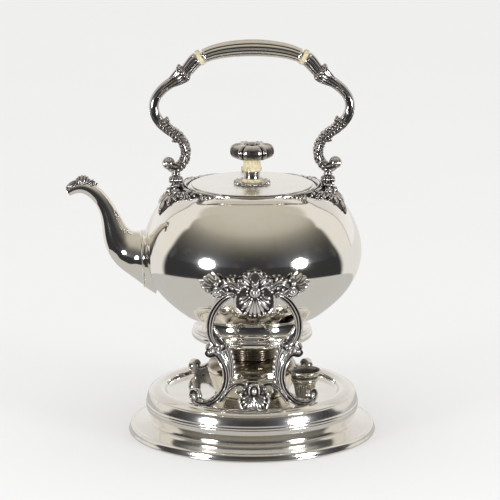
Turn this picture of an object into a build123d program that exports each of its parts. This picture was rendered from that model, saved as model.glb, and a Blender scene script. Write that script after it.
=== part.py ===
from build123d import *
import os
from math import cos, sin, pi, sqrt, radians, degrees, atan2

os.makedirs("parts", exist_ok=True)

# ---------------------------------------------------------------------------
# Spirit kettle on stand, millimetres, +Z up, resting plane z = 0.
# Origin: centre of the round base. Spout towards -X, handle hinge axis along X,
# front bracket at -Y, back bracket and lid hinge at +Y.
# ---------------------------------------------------------------------------

# Base
BASE_R = 100.0          # outer radius of the flange
SHEET = 1.5             # thickness of the spun base
WELL_Z = 31.0           # floor of the well
FLANGE_JOINT_R = 82.75  # where the ring's wall stands on the flange
FLANGE_JOINT_Z = 8.8

# Tilting axis of the kettle (along Y)
PIVOT_Z = 148.0
PIN_R = 2.10            # pivot screw shank
PIN_BORE_R = 2.15       # bore of the bracket, running fit

# Kettle body
BODY_R = 87.9
WALL = 1.4
BODY_BOTTOM = 97.5
SEAM_Z = 202.3          # level of the lid's rim
LID_R = 48.2
BEZEL_R = 50.3

# Handle
HINGE_Z = 205.9         # axis of the two handle hinges
HINGE_X = 60.7          # distance of each hinge from the centre
KNUCKLE_R = 4.05
KNUCKLE_BORE = 1.30
KNUCKLE_PIN = 1.25      # running fit in the arm's knuckle
KNUCKLE_HALF = 5.6      # half length of one hinge barrel
MID_HALF = 2.1          # half length of the middle knuckle

# Lid hinge
LID_HINGE_Y = 50.6
LID_HINGE_Z = 204.6
LID_KNUCKLE_R = 1.9

Z_AXIS = Axis.Z


def save(shape, name):
    shape.label = name
    export_step(shape, f"parts/{name}.step")


def poly_face_xz(points):
    """Face in the XZ plane from a closed list of (x, z)."""
    pts = [Vector(x, 0, z) for x, z in points]
    return Face(Wire.make_polygon(pts, close=True))


def profile_face(edges):
    """Face in the XZ plane; edges is a list of point lists, each a spline (3 or more points) or a line (2)."""
    made = []
    for pts in edges:
        v = [Vector(x, 0, z) for x, z in pts]
        made.append(Edge.make_line(v[0], v[1]) if len(v) == 2 else Edge.make_spline(v))
    return Face(Wire(made))


def turn(face):
    return Solid.revolve(face, 360, Z_AXIS)


def cyl_y(r, y0, y1, x=0.0, z=0.0):
    lo, hi = min(y0, y1), max(y0, y1)
    return Solid.make_cylinder(r, hi - lo, Plane(origin=(x, lo, z), x_dir=(1, 0, 0), z_dir=(0, 1, 0)))


def cyl_x(r, x0, x1, y=0.0, z=0.0):
    lo, hi = min(x0, x1), max(x0, x1)
    return Solid.make_cylinder(r, hi - lo, Plane(origin=(lo, y, z), x_dir=(0, 1, 0), z_dir=(1, 0, 0)))


def cyl_z(r, z0, z1, x=0.0, y=0.0):
    return Solid.make_cylinder(r, z1 - z0, Plane(origin=(x, y, z0)))


def one(shape):
    """The single solid of a boolean result, or a compound of them."""
    s = shape.solids()
    return s[0] if len(s) == 1 else Compound(children=list(s))


# ---------------------------------------------------------------------------
# Base: a spun tray with a raised ring and a sunk well, soldered on a flange
# with a thick rolled rim that the whole stand rests on
# ---------------------------------------------------------------------------
tray = turn(profile_face([
    [(0, WELL_Z), (67.8, WELL_Z)],
    [(67.8, WELL_Z), (69.2, 32.0), (70.9, 34.5), (73.7, 35.9), (77.0, 35.9), (81.6, 33.6), (84.9, 29.4), (86.2, 24.1),
     (85.6, 19.0), (84.0, 15.4), (83.0, 12.0), (FLANGE_JOINT_R, FLANGE_JOINT_Z)],
    [(FLANGE_JOINT_R, FLANGE_JOINT_Z), (81.2, FLANGE_JOINT_Z)],
    [(81.2, FLANGE_JOINT_Z), (81.4, 12.2), (82.4, 16.0), (84.0, 19.6), (84.6, 24.1), (83.5, 28.6), (80.6, 32.3),
     (76.7, 34.35), (74.2, 34.35), (72.1, 33.4), (70.4, 30.9), (68.2, 29.5)],
    [(68.2, 29.5), (0, 29.5)],
    [(0, 29.5), (0, WELL_Z)],
]))
flange = turn(profile_face([
    [(81.2, FLANGE_JOINT_Z), (FLANGE_JOINT_R, FLANGE_JOINT_Z)],
    [(FLANGE_JOINT_R, FLANGE_JOINT_Z), (89.4, 7.1), (96.4, 5.8)],
    [(96.4, 5.8), (98.4, 5.8), (99.7, 4.7), (BASE_R, 3.0), (99.5, 1.2), (98.4, 0.0)],
    [(98.4, 0.0), (93.0, 0.0)],
    [(93.0, 0.0), (92.2, 4.9)],
    [(92.2, 4.9), (81.2, 7.2)],
    [(81.2, 7.2), (81.2, FLANGE_JOINT_Z)],
]))

# ---------------------------------------------------------------------------
# Brackets. Each is drawn flat as (distance round the stand, height) and bent on
# a curved wall whose radius follows the height.
# ---------------------------------------------------------------------------
WALL_CURVE = [(24, 65.0), (45, 65.2), (62, 65.9), (75, 68.0), (87, 71.6), (98, 76.4), (106, 80.0), (115, 83.8),
              (123.5, 86.7), (134, 89.9), (145, 91.8), (160, 92.8)]


def wall_r(z):
    c = WALL_CURVE
    if z <= c[0][0]:
        return c[0][1]
    for (a, ra), (b, rb) in zip(c, c[1:]):
        if z <= b:
            return ra + (rb - ra) * (z - a) / (b - a)
    return c[-1][1]


def bent(s, z):
    r = wall_r(z)
    return (r * sin(s / r), z)


def wall_band(inner, outer):
    a = [(r + inner, z) for z, r in WALL_CURVE]
    b = [(r + outer, z) for z, r in reversed(WALL_CURVE)]
    return turn(profile_face([a, [a[-1], b[0]], b, [b[-1], a[0]]]))


BAND_LEG = wall_band(-2.2, 2.2)
BAND_CREST = wall_band(-2.0, 2.8)
BAND_APRON = wall_band(-1.8, 2.0)


def cutter(points):
    """Prism along Y, front half only, from a closed smooth outline of (x, z)."""
    face = poly_face_xz(points)
    return Solid.extrude(face, Vector(0, -110, 0))


def disc_cutter(x, z, r):
    return cyl_y(r, -110, 0, x, z)


def stroke(points, widths):
    """Closed outline round a centre line of (x, z), one width per point."""
    left, right = [], []
    n = len(points)
    for i, (x, z) in enumerate(points):
        a, b = points[max(i - 1, 0)], points[min(i + 1, n - 1)]
        dx, dz = b[0] - a[0], b[1] - a[1]
        length = sqrt(dx * dx + dz * dz)
        nx, nz = -dz / length, dx / length
        w = widths[i] / 2
        left.append((x + nx * w, z + nz * w))
        right.append((x - nx * w, z - nz * w))
    return left + right[::-1]


def smooth(points, per=5):
    """Catmull-Rom points through the given ones."""
    out = []
    n = len(points)
    for i in range(n - 1):
        p0, p1, p2, p3 = points[max(i - 1, 0)], points[i], points[i + 1], points[min(i + 2, n - 1)]
        for k in range(per):
            t = k / per
            out.append(tuple(
                0.5 * (2 * b + (c - a) * t + (2 * a - 5 * b + 4 * c - d) * t * t + (3 * b - a - 3 * c + d) * t ** 3)
                for a, b, c, d in zip(p0, p1, p2, p3)))
    out.append(tuple(points[-1]))
    return out


UPPER_C = [(20.0, 131.6, 5.6), (24.5, 128.6, 6.0), (29.6, 122.4, 6.2), (34.0, 114.0, 6.3), (36.1, 103.0, 6.3),
           (35.4, 94.2, 6.0), (32.0, 87.6, 5.6), (27.6, 84.2, 5.0)]
LOWER_C = [(34.6, 78.6, 4.6), (31.6, 78.3, 5.0), (27.4, 75.0, 5.6), (23.6, 68.8, 6.0), (22.0, 61.3, 6.0),
           (22.8, 53.0, 6.0), (26.5, 45.2, 5.8), (33.1, 38.4, 5.4), (41.5, 34.4, 5.2), (49.0, 34.6, 5.0)]
JOINT_LINK = [(28.6, 85.5, 8.0), (28.4, 81.0, 7.0), (27.6, 76.5, 7.0)]


def leg_half():
    shapes = []
    for line in (UPPER_C, LOWER_C, JOINT_LINK):
        pts = smooth(line, 4)
        flat = [bent(s, z) for s, z, w in pts]
        shapes.append(cutter(stroke(flat, [p[2] for p in pts])))
    for s, z, r in ((25.2, 87.2, 3.7), (36.4, 79.8, 3.5), (51.0, 38.2, 5.6), (46.2, 40.6, 2.6)):
        x, _ = bent(s, z)
        shapes.append(disc_cutter(x, z, r))
    tool = shapes[0].fuse(*shapes[1:])
    leg = tool & BAND_LEG
    floor = Solid.make_box(300, 300, 30, Plane(origin=(-150, -150, WELL_Z - 30)))
    return one(leg - floor)


FOOT_S, FOOT_SCREW_R = 41.5, 1.4
foot_r = wall_r(34)
FOOT_X, FOOT_Y = foot_r * sin(FOOT_S / foot_r), -foot_r * cos(FOOT_S / foot_r)

leg_right = leg_half()
leg_right = one(leg_right - cyl_z(FOOT_SCREW_R, 28, 34.5, FOOT_X, FOOT_Y))
leg_left = leg_right.mirror(Plane.YZ)

crest_pts = [(0, 152.3), (5.0, 151.6), (9.0, 149.6), (12.2, 146.2), (17.5, 144.8), (24, 145.8), (30, 144.6), (37.0, 147.2),
             (41, 144.0), (45.2, 142.4), (43.6, 138), (39.5, 133.6), (34.0, 129.6), (29.0, 128.6), (24.6, 130.2), (20.5, 129.4),
             (16.4, 129.6), (15.4, 124.3), (13.4, 119.4), (10.0, 115.9), (5.2, 114.0), (0, 113.5)]
outline = [bent(s, z) for s, z in crest_pts]
outline = outline + [(-x, z) for x, z in outline[-2:0:-1]]
crest = cutter(outline) & BAND_CREST
crest = one(crest - cyl_y(PIN_BORE_R, -120, -60, 0, PIVOT_Z))
crest = one(crest - cyl_y(4.2, -120, -93.7, 0, PIVOT_Z))
crest = one((crest - leg_right) - leg_left)

apron_pts = [(0, 54.2), (4.2, 53.4), (8.0, 56.2), (14.3, 56.6), (19.0, 53.6), (22.6, 49.4), (21.6, 46.6), (18.2, 50.4), (14.0, 53.0),
             (9.6, 52.0), (9.6, 47.5), (11.4, 43.2), (11.2, 38.0), (9.0, 33.6), (7.4, WELL_Z)]
outline = [bent(s, z) for s, z in apron_pts]
outline = outline + [(-x, z) for x, z in outline[::-1][:-1]]
apron = cutter(outline) & BAND_APRON
apron = one((apron - leg_right) - leg_left)

foot_screw = cyl_z(FOOT_SCREW_R, 29.5, 34.5, FOOT_X, FOOT_Y).fuse(cyl_z(2.9, 27.6, 29.5, FOOT_X, FOOT_Y))
for sx in (1, -1):
    for sy in (1, -1):
        tray = tray - cyl_z(FOOT_SCREW_R, 28, 32, sx * FOOT_X, sy * FOOT_Y)
tray = one(tray)
screws = [foot_screw, foot_screw.mirror(Plane.YZ), foot_screw.mirror(Plane.XZ), foot_screw.mirror(Plane.YZ).mirror(Plane.XZ)]
save(tray, "base_tray")
save(one(flange), "base_flange")
save(Compound(children=[one(s) for s in screws]), "bracket_screws")

for end, place in (("front", lambda s: s), ("back", lambda s: s.rotate(Axis.Z, 180))):
    save(place(leg_left), f"{end}_bracket_leg_left" if end == "front" else "back_bracket_leg_right")
    save(place(leg_right), f"{end}_bracket_leg_right" if end == "front" else "back_bracket_leg_left")
    save(place(crest), f"{end}_bracket_crest")
    save(place(apron), f"{end}_bracket_apron")

# ---------------------------------------------------------------------------
# Spirit burner: bulbous reservoir, ribbed collar, wick tube and wick
# ---------------------------------------------------------------------------
reservoir = turn(profile_face([
    [(0, WELL_Z), (27.6, WELL_Z)],
    [(27.6, WELL_Z), (29.6, 32.2), (31.8, 36.5), (34.6, 43.5), (36.0, 51.2), (34.9, 56.0), (31.0, 59.4), (26.0, 60.4), (20.6, 60.2)],
    [(20.6, 60.2), (12.2, 60.2)],
    [(12.2, 60.2), (12.2, 58.9)],
    [(12.2, 58.9), (20.6, 58.9)],
    [(20.6, 58.9), (26.0, 59.0), (30.2, 58.0), (33.4, 55.2), (34.5, 51.2), (33.2, 44.0), (30.4, 37.2), (28.4, 33.4), (26.8, 32.5)],
    [(26.8, 32.5), (0, 32.5)],
    [(0, 32.5), (0, WELL_Z)],
]))
save(reservoir, "burner_reservoir")

ribs = []
COLLAR_LOW, COLLAR_TOP, RIBS = 60.2, 69.4, 4
step = (COLLAR_TOP - COLLAR_LOW) / RIBS
for i in range(RIBS):
    z0 = COLLAR_LOW + i * step
    ribs += [(18.7, z0), (19.5, z0 + 0.25 * step), (19.5, z0 + 0.75 * step)]
ribs.append((18.7, COLLAR_TOP))
collar = turn(poly_face_xz([(12.4, COLLAR_LOW), *ribs, (17.4, COLLAR_TOP), (17.4, 62.4), (12.4, 62.4)]))
save(collar, "burner_collar")

wick_tube = turn(poly_face_xz([(10.6, 55.0), (12.0, 55.0), (12.0, 63.4), (10.0, 64.6), (10.0, 69.0), (8.9, 69.0), (8.9, 63.6), (10.6, 62.6)]))
save(wick_tube, "burner_wick_tube")
wick = turn(poly_face_xz([(0, 45.0), (8.7, 45.0), (8.7, 69.4), (7.4, 70.3), (0, 70.6)]))
save(wick, "burner_wick")

# ---------------------------------------------------------------------------
# Snuffer cap, standing mouth up in the well
# ---------------------------------------------------------------------------
CAP_X, CAP_Y = 41.5, -27.0
cap = turn(poly_face_xz([
    (0, WELL_Z), (6.3, WELL_Z), (6.9, 31.5), (7.1, 33.0), (9.6, 46.2), (10.8, 46.8), (11.0, 47.6), (10.5, 48.4), (10.9, 50.2), (12.2, 53.0),
    (13.2, 53.9), (13.3, 54.9), (12.8, 55.7), (12.1, 55.4), (11.1, 53.2), (9.8, 50.6), (9.4, 49.0), (8.4, 46.6), (5.9, 32.6), (0, 32.4)]))
save(cap.move(Location((CAP_X, CAP_Y, 0))), "snuffer_cap")

# ---------------------------------------------------------------------------
# Kettle body: spun shell with a flat bottom and a wide mouth
# ---------------------------------------------------------------------------
OUTER = [(55.6, 98.3), (58.4, 100.3), (64.3, 105.2), (70.2, 110.6), (75.8, 116.8), (80.7, 123.7), (84.5, 131.3), (87.0, 139.5),
         (BODY_R, 148.0), (87.2, 156.8), (84.6, 166.4), (80.4, 176.0), (75.6, 183.9), (69.6, 190.7), (62.0, 196.6), (54.6, 199.9), (50.3, 201.0)]


def offset_line(points, d):
    out = []
    n = len(points)
    for i, (x, z) in enumerate(points):
        a, b = points[max(i - 1, 0)], points[min(i + 1, n - 1)]
        dx, dz = b[0] - a[0], b[1] - a[1]
        length = sqrt(dx * dx + dz * dz)
        out.append((x + dz / length * d, z - dx / length * d))
    return out


INNER = offset_line(OUTER, -WALL)
MOUTH_R = 45.6
LEDGE_Z = 200.9
body = turn(profile_face([
    [(0, BODY_BOTTOM), (53.8, BODY_BOTTOM)],
    [(53.8, BODY_BOTTOM), OUTER[0]],
    OUTER,
    [OUTER[-1], (MOUTH_R, 200.9)],
    [(MOUTH_R, 200.9), (MOUTH_R, 199.4)],
    [(MOUTH_R, 199.4), INNER[-1]],
    INNER[::-1],
    [INNER[0], (52.9, BODY_BOTTOM + WALL)],
    [(52.9, BODY_BOTTOM + WALL), (0, BODY_BOTTOM + WALL)],
    [(0, BODY_BOTTOM + WALL), (0, BODY_BOTTOM)],
]))
body_full = turn(profile_face([[(0, BODY_BOTTOM), (53.8, BODY_BOTTOM)], [(53.8, BODY_BOTTOM), OUTER[0]], OUTER,
                               [OUTER[-1], (0, 201.0)], [(0, 201.0), (0, BODY_BOTTOM)]]))

# Spout: round pipe, sections square to its centre line (x, z, half height, half width)
SPOUT = [(-78.0, 143.0, 26.0, 20.5), (-88.6, 145.6, 20.4, 17.6), (-97.6, 149.4, 17.0, 15.2), (-104.8, 155.4, 13.6, 12.6),
         (-109.4, 163.6, 10.6, 10.4), (-112.6, 173.6, 8.2, 8.4), (-116.2, 183.0, 6.7, 6.9), (-121.4, 191.4, 5.9, 6.1),
         (-128.0, 197.6, 5.5, 5.6), (-135.2, 200.4, 5.0, 5.1), (-141.6, 199.4, 4.2, 4.5), (-146.6, 196.6, 3.4, 3.9)]


def spout_sections(shrink, first=0, line=None):
    line = line or SPOUT
    made = []
    n = len(line)
    for i, (x, z, h, w) in enumerate(line):
        if i < first:
            continue
        a, b = line[max(i - 1, 0)], line[min(i + 1, n - 1)]
        t = Vector(b[0] - a[0], 0, b[1] - a[1]).normalized()
        plane = Plane(origin=(x, 0, z), x_dir=(0, 1, 0), z_dir=(t.X, 0, t.Z))
        made.append(Wire(Edge.make_ellipse(w - shrink, h - shrink, plane)) if abs(w - h) > 1e-6 else Wire(Edge.make_circle(w - shrink, plane)))
    return made


spout_outer = Solid.make_loft(spout_sections(0.0))
ahead = (SPOUT[-1][0] - 3.0, SPOUT[-1][1] - 1.9, SPOUT[-1][2], SPOUT[-1][3])
behind = (SPOUT[0][0] + 6.0, SPOUT[0][1] - 1.0, SPOUT[0][2], SPOUT[0][3])
spout_bore = Solid.make_loft(spout_sections(1.3, 0, [behind] + SPOUT + [ahead]))
spout = one((spout_outer - body_full) - spout_bore)
strainer_plate = Plane(origin=(-90.0, 0, 146.0), x_dir=(0, 1, 0), z_dir=(-1, 0, 0.30))
strainer = Solid.extrude(Face(Wire(Edge.make_ellipse(22, 24, strainer_plate))), Vector(-0.8, 0, 0.24))
strainer = one(strainer & spout_bore)
holes = []
for ring, count in ((0, 1), (4.6, 6), (9.2, 12)):
    for k in range(count):
        a = 2 * pi * k / count
        c = strainer_plate.from_local_coords(Vector(ring * cos(a), ring * sin(a), -3))
        holes.append(Solid.make_cylinder(1.2, 6, Plane(origin=c, x_dir=(0, 1, 0), z_dir=(-1, 0, 0.30))))
strainer = one(strainer - holes)

# Collar round the root of the spout
collar_line = [(-80.0, 143.3, 26.6, 21.4), (-84.4, 144.5, 24.0, 20.0), (-88.2, 145.5, 21.6, 18.6)]
ring_outer = Solid.make_loft(spout_sections(0.0, 0, [(-74.0, 142.0, 28.4, 22.6)] + collar_line))
spout_collar = one((ring_outer - body_full) - spout_outer)

# Leaf on the top of the spout's mouth
leaf_a = Solid.extrude(poly_face_xz([(-141.0, 201.0), (-139.6, 205.2), (-136.6, 209.6), (-133.8, 210.9), (-131.2, 210.2), (-129.4, 207.4),
                                     (-127.0, 207.9), (-124.6, 206.6), (-123.2, 203.4), (-123.8, 198.6), (-133.0, 198.0)]), Vector(0, 7.6, 0)).move(Location((0, -3.8, 0)))
spout_leaf = one(leaf_a - spout_outer)

# Pivot bushes: flanged, blind, threaded from outside, one each side at the equator
BUSH_R, BUSH_FLANGE_R, BUSH_FACE, BUSH_DEEP = 4.0, 6.4, 89.2, 79.5


def bush():
    b = cyl_y(BUSH_FLANGE_R, -BUSH_FACE, -82, 0, PIVOT_Z) - body_full
    b = max(b.solids(), key=lambda s: s.volume)
    b = b.fuse(cyl_y(BUSH_R, -BUSH_FACE, -BUSH_DEEP, 0, PIVOT_Z))
    return one(b - cyl_y(PIN_R, -BUSH_FACE - 1, -81.5, 0, PIVOT_Z))


bush_front = bush()
bush_back = bush_front.rotate(Axis.Z, 180)
screw_front = cyl_y(PIN_R, -94.2, -82.0, 0, PIVOT_Z).fuse(cyl_y(3.6, -95.6, -94.2, 0, PIVOT_Z))
screw_front = one(screw_front)
screw_back = screw_front.rotate(Axis.Z, 180)

for sy in (-1, 1):
    body = body - cyl_y(BUSH_R, sy * 95, sy * 75, 0, PIVOT_Z)
body = one(body - spout_bore)
save(body, "kettle_body")
save(spout, "spout")
save(spout_collar, "spout_collar")
save(spout_leaf, "spout_leaf")
save(strainer, "spout_strainer")
save(bush_front, "pivot_bush_front")
save(bush_back, "pivot_bush_back")
save(screw_front, "pivot_screw_front")
save(screw_back, "pivot_screw_back")

# Foot: drum and flange under the body, open below
foot = turn(profile_face([
    [(42.2, BODY_BOTTOM), (43.6, BODY_BOTTOM)],
    [(43.6, BODY_BOTTOM), (43.6, 85.0)],
    [(43.6, 85.0), (46.4, 83.6), (48.2, 82.0), (48.6, 80.2), (48.0, 78.4), (46.6, 77.5)],
    [(46.6, 77.5), (44.6, 77.5)],
    [(44.6, 77.5), (44.2, 79.4), (43.4, 81.6), (42.2, 83.4)],
    [(42.2, 83.4), (42.2, BODY_BOTTOM)],
]))
save(foot, "kettle_foot")

# ---------------------------------------------------------------------------
# Lid with its bezel, hinge, insulators and knob
# ---------------------------------------------------------------------------
bezel = turn(poly_face_xz([(MOUTH_R, LEDGE_Z), (BEZEL_R, 201.0), (BEZEL_R, 201.6), (BEZEL_R - 0.5, 202.1), (LID_R + 0.25, 202.1), (LID_R + 0.25, 201.3),
                           (MOUTH_R, 201.3)]))
hinge_ear = [(-7.4, -2.7), (2.7, 7.4)]


def barrel_x(x0, x1, r_out, r_in, y, z):
    return cyl_x(r_out, x0, x1, y, z) - cyl_x(r_in, x0 - 1, x1 + 1, y, z)


lid_pin_r, lid_bore_r = 0.80, 0.85
body_knuckles = None
for x0, x1 in hinge_ear:
    ear = cyl_x(LID_KNUCKLE_R, x0, x1, LID_HINGE_Y, LID_HINGE_Z).fuse(
        Solid.make_box(x1 - x0, 2.6, 2.6, Plane(origin=(x0, LID_HINGE_Y - 0.8, 202.0))))
    ear = ear - cyl_x(lid_pin_r, x0 - 1, x1 + 1, LID_HINGE_Y, LID_HINGE_Z)
    body_knuckles = ear if body_knuckles is None else body_knuckles.fuse(ear)
hinge_leaf = Solid.make_box(14.8, 3.2, 1.6, Plane(origin=(-7.4, LID_HINGE_Y - 0.8, 200.6)))
hinge_fixed = one((body_knuckles.fuse(hinge_leaf) - body_full) - bezel)
save(bezel, "lid_bezel")
save(hinge_fixed, "lid_hinge_leaf")
save(cyl_x(lid_pin_r, -7.4, 7.4, LID_HINGE_Y, LID_HINGE_Z), "lid_hinge_pin")

lid = turn(profile_face([
    [(0, 202.9), (24.0, 202.9)],
    [(24.0, 202.9), (34.0, 202.8), (42.0, 202.6), (47.6, 202.3)],
    [(47.6, 202.3), (LID_R, 201.9)],
    [(LID_R, 201.9), (LID_R, 201.35)],
    [(LID_R, 201.35), (45.3, 201.35)],
    [(45.3, 201.35), (45.2, 197.4)],
    [(45.2, 197.4), (44.2, 197.4)],
    [(44.2, 197.4), (44.2, 201.3)],
    [(44.2, 201.3), (0, 201.7)],
    [(0, 201.7), (0, 202.9)],
]))
STUD_R = 1.5
lid = lid - cyl_z(STUD_R, 190, 210)
arm_lid = cyl_x(LID_KNUCKLE_R, -2.4, 2.4, LID_HINGE_Y, LID_HINGE_Z).fuse(
    Solid.make_box(4.8, 8.6, 1.3, Plane(origin=(-2.4, LID_HINGE_Y - 8.9, 202.95))))
arm_lid = arm_lid - cyl_x(lid_bore_r, -3, 3, LID_HINGE_Y, LID_HINGE_Z)
lid_full_top = turn(profile_face([[(0, 190), (0, 202.9)], [(0, 202.9), (24.0, 202.9)], [(24.0, 202.9), (34.0, 202.8), (42.0, 202.6), (47.6, 202.3)],
                                  [(47.6, 202.3), (LID_R, 201.9)], [(LID_R, 201.9), (LID_R, 190)], [(LID_R, 190), (0, 190)]]))
arm_lid = arm_lid.fuse(Solid.make_box(4.8, 6.0, 1.6, Plane(origin=(-2.4, LID_HINGE_Y - 9.0, 202.0))))
arm_lid = one(arm_lid - lid_full_top)
save(one(lid), "lid")
save(arm_lid, "lid_hinge_knuckle")

rosette = turn(poly_face_xz([(STUD_R, 202.9), (12.4, 202.9), (14.2, 204.0), (14.5, 205.4), (13.6, 206.3), (11.6, 205.6), (8.4, 204.2), (STUD_R, 204.0)]))
save(rosette, "lid_rosette")
ins_low = turn(poly_face_xz([(STUD_R, 204.0), (8.0, 204.3), (8.2, 205.4), (7.2, 207.1), (STUD_R, 207.1)]))
ins_low = one(ins_low - rosette)
save(ins_low, "lid_insulator_lower")
ring = turn(poly_face_xz([(STUD_R, 207.1), (6.9, 207.1), (6.9, 213.4), (STUD_R, 213.4)]))
save(ring, "lid_finial_ring")
ins_up = turn(poly_face_xz([(STUD_R, 213.4), (8.3, 213.4), (8.7, 215.2), (8.3, 216.8), (7.2, 217.6), (7.3, 223.4), (STUD_R, 223.4)]))
save(ins_up, "lid_insulator_upper")
knob = turn(profile_face([
    [(0, 223.4), (9.0, 223.4)],
    [(9.0, 223.4), (13.6, 223.6), (16.6, 225.6), (17.7, 229.0), (16.8, 232.0), (13.8, 233.9), (9.0, 234.6), (5.0, 234.6)],
    [(5.0, 234.6), (4.0, 236.0)],
    [(4.0, 236.0), (0, 236.6)],
    [(0, 236.6), (0, 223.4)],
])) - cyl_z(STUD_R, 200, 230)
save(one(knob), "lid_knob")
stud = cyl_z(STUD_R, 198.2, 230)
save(stud, "lid_knob_stud")
nut = Solid.extrude(Face(Wire.make_polygon([Vector(3.2 * cos(radians(60 * k)), 3.2 * sin(radians(60 * k)), 199.2) for k in range(6)], close=True)),
                    Vector(0, 0, 2.0)) - cyl_z(STUD_R, 190, 210)
nut = one(nut - lid)
save(nut, "lid_knob_nut")

# ---------------------------------------------------------------------------
# Handle mounts: cast sprays lying on the shoulder, with two hinge knuckles each
# ---------------------------------------------------------------------------
def spray_outline(side):
    """Plan outline of one spray, as (angle either side of the handle's plane, radius)."""
    half = [(0, 78.6), (5, 74.5), (11, 69.6), (17, 64.4), (24, 61.6), (34, 60.2), (46, 58.6), (57, 57.4), (64, 55.6)]
    back = [(64, 53.4), (52, 52.4), (40, 51.6), (26, 51.3), (12, 51.2), (0, 51.2)]
    ring_pts = half + back[:-1]
    pts = []
    for a, r in ring_pts:
        pts.append((a, r))
    mirrored = [(-a, r) for a, r in reversed(back[:-1])] + [(-a, r) for a, r in reversed(half[1:])]
    pts = pts + [back[-1]] + mirrored
    return [(side * r * cos(radians(a)), side * r * sin(radians(a))) for a, r in pts]


raised_line = offset_line(OUTER[9:], 2.5)
band_face = profile_face([
    OUTER[:],
    [OUTER[-1], (OUTER[-1][0], OUTER[-1][1] + 2.6)],
    [(OUTER[-1][0], OUTER[-1][1] + 2.6), raised_line[-1]],
    raised_line[::-1],
    [raised_line[0], (96.0, 150.0)],
    [(96.0, 150.0), (96.0, 98.3)],
    [(96.0, 98.3), OUTER[0]],
])
spray_ring = turn(band_face)


def mount(side):
    pts = [Vector(x, y, 160.0) for x, y in spray_outline(side)]
    prism = Solid.extrude(Face(Wire.make_polygon(pts, close=True)), Vector(0, 0, 60))
    spray = one(prism & spray_ring)
    x = side * HINGE_X
    post = Solid.make_box(2 * KNUCKLE_HALF, 6.4, 8.0, Plane(origin=(x - KNUCKLE_HALF, -3.2, 195.0)))
    waist = Solid.make_box(2 * KNUCKLE_HALF, 5.6, 5.0, Plane(origin=(x - KNUCKLE_HALF, -2.8, 201.0)))
    gap = cyl_x(KNUCKLE_R + 0.35, x - MID_HALF - 0.15, x + MID_HALF + 0.15, 0, HINGE_Z)
    shape = post.fuse(waist)
    for x0, x1 in ((x - KNUCKLE_HALF, x - MID_HALF - 0.15), (x + MID_HALF + 0.15, x + KNUCKLE_HALF)):
        shape = shape.fuse(cyl_x(KNUCKLE_R, x0, x1, 0, HINGE_Z))
    shape = shape - gap
    shape = shape - cyl_x(KNUCKLE_PIN, x - 10, x + 10, 0, HINGE_Z)
    shape = shape - body_full
    return one(shape.fuse(spray))


mount_right = mount(1)
mount_left = mount_right.rotate(Axis.Z, 180)
save(mount_left, "handle_mount_left")
save(mount_right, "handle_mount_right")
save(cyl_x(KNUCKLE_PIN, -HINGE_X - KNUCKLE_HALF, -HINGE_X + KNUCKLE_HALF, 0, HINGE_Z), "handle_pin_left")
save(cyl_x(KNUCKLE_PIN, HINGE_X - KNUCKLE_HALF, HINGE_X + KNUCKLE_HALF, 0, HINGE_Z), "handle_pin_right")

# ---------------------------------------------------------------------------
# Handle: two S-shaped cast arms, two insulators and a swelling grip
# ---------------------------------------------------------------------------
# Arm centre line from the insulator down to the curl: x, z, half thickness
ARM = [(44.6, 302.6, 5.9), (48.4, 298.6, 5.8), (52.6, 293.2, 5.4), (57.8, 289.0, 4.9), (63.8, 285.0, 4.4), (69.8, 280.6, 4.2), (74.6, 275.4, 4.0),
       (77.3, 270.0, 3.9), (77.9, 264.4, 3.9), (76.6, 258.8, 4.0), (73.2, 253.4, 4.1), (68.4, 248.8, 4.2), (63.0, 244.8, 4.2), (57.8, 240.6, 4.1),
       (54.2, 235.2, 4.0), (52.8, 229.0, 3.9), (53.9, 222.6, 3.8), (57.2, 217.8, 3.7)]
CURL = [(60.6, 215.4, 3.7), (64.2, 216.2, 3.7), (66.4, 218.8, 3.7)]     # the last turn, into the ball
INS_X, INS_Z = 42.2, 304.4
GRIP = [(-39.6, 305.7, 5.5), (-33.0, 308.1, 5.9), (-24.0, 310.4, 6.3), (-12.0, 312.0, 6.7), (0.0, 312.5, 6.85), (12.0, 312.0, 6.7),
        (24.0, 310.4, 6.3), (33.0, 308.1, 5.9), (39.6, 305.7, 5.5)]


def pipe(line, start=None, end=None):
    made = []
    n = len(line)
    for i, (x, z, r) in enumerate(line):
        a, b = line[max(i - 1, 0)], line[min(i + 1, n - 1)]
        t = Vector(b[0] - a[0], 0, b[1] - a[1]).normalized()
        if i == 0 and start:
            t = Vector(*start).normalized()
        if i == n - 1 and end:
            t = Vector(*end).normalized()
        plane = Plane(origin=(x, 0, z), x_dir=(0, 1, 0), z_dir=(t.X, 0, t.Z))
        made.append(Wire(Edge.make_circle(r, plane)))
    return Solid.make_loft(made)


ins_t = Vector(0.88, 0, -0.475).normalized()
grip = pipe(GRIP, start=(0.88, 0, 0.475), end=(0.88, 0, -0.475))
INS_HALF = 1.9
grip_end = Vector(39.6, 0, 305.7)
ins_c = grip_end + ins_t * (INS_HALF + 0.0)
ins_far = grip_end + ins_t * (2 * INS_HALF)
ins_plane = Plane(origin=tuple(grip_end), x_dir=(0, 1, 0), z_dir=tuple(ins_t))
insulator_right = Solid.make_cylinder(6.5, 2 * INS_HALF, ins_plane)
dowel_plane = Plane(origin=tuple(grip_end - ins_t * 6.0), x_dir=(0, 1, 0), z_dir=tuple(ins_t))
dowel_right = Solid.make_cylinder(1.5, 12.0 + 2 * INS_HALF, dowel_plane)
arm_line = [(ins_far.X, ins_far.Z, 5.9)] + ARM[1:] + CURL
arm = pipe(arm_line, start=tuple(ins_t))
curl = Solid.make_sphere(5.1, Plane(origin=(66.6, 0, 219.7)), angle1=-90, angle2=90)
arm = one(arm.fuse(curl))
neck = cyl_z(3.1, 208.4, 215.4, HINGE_X, 0)
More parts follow.
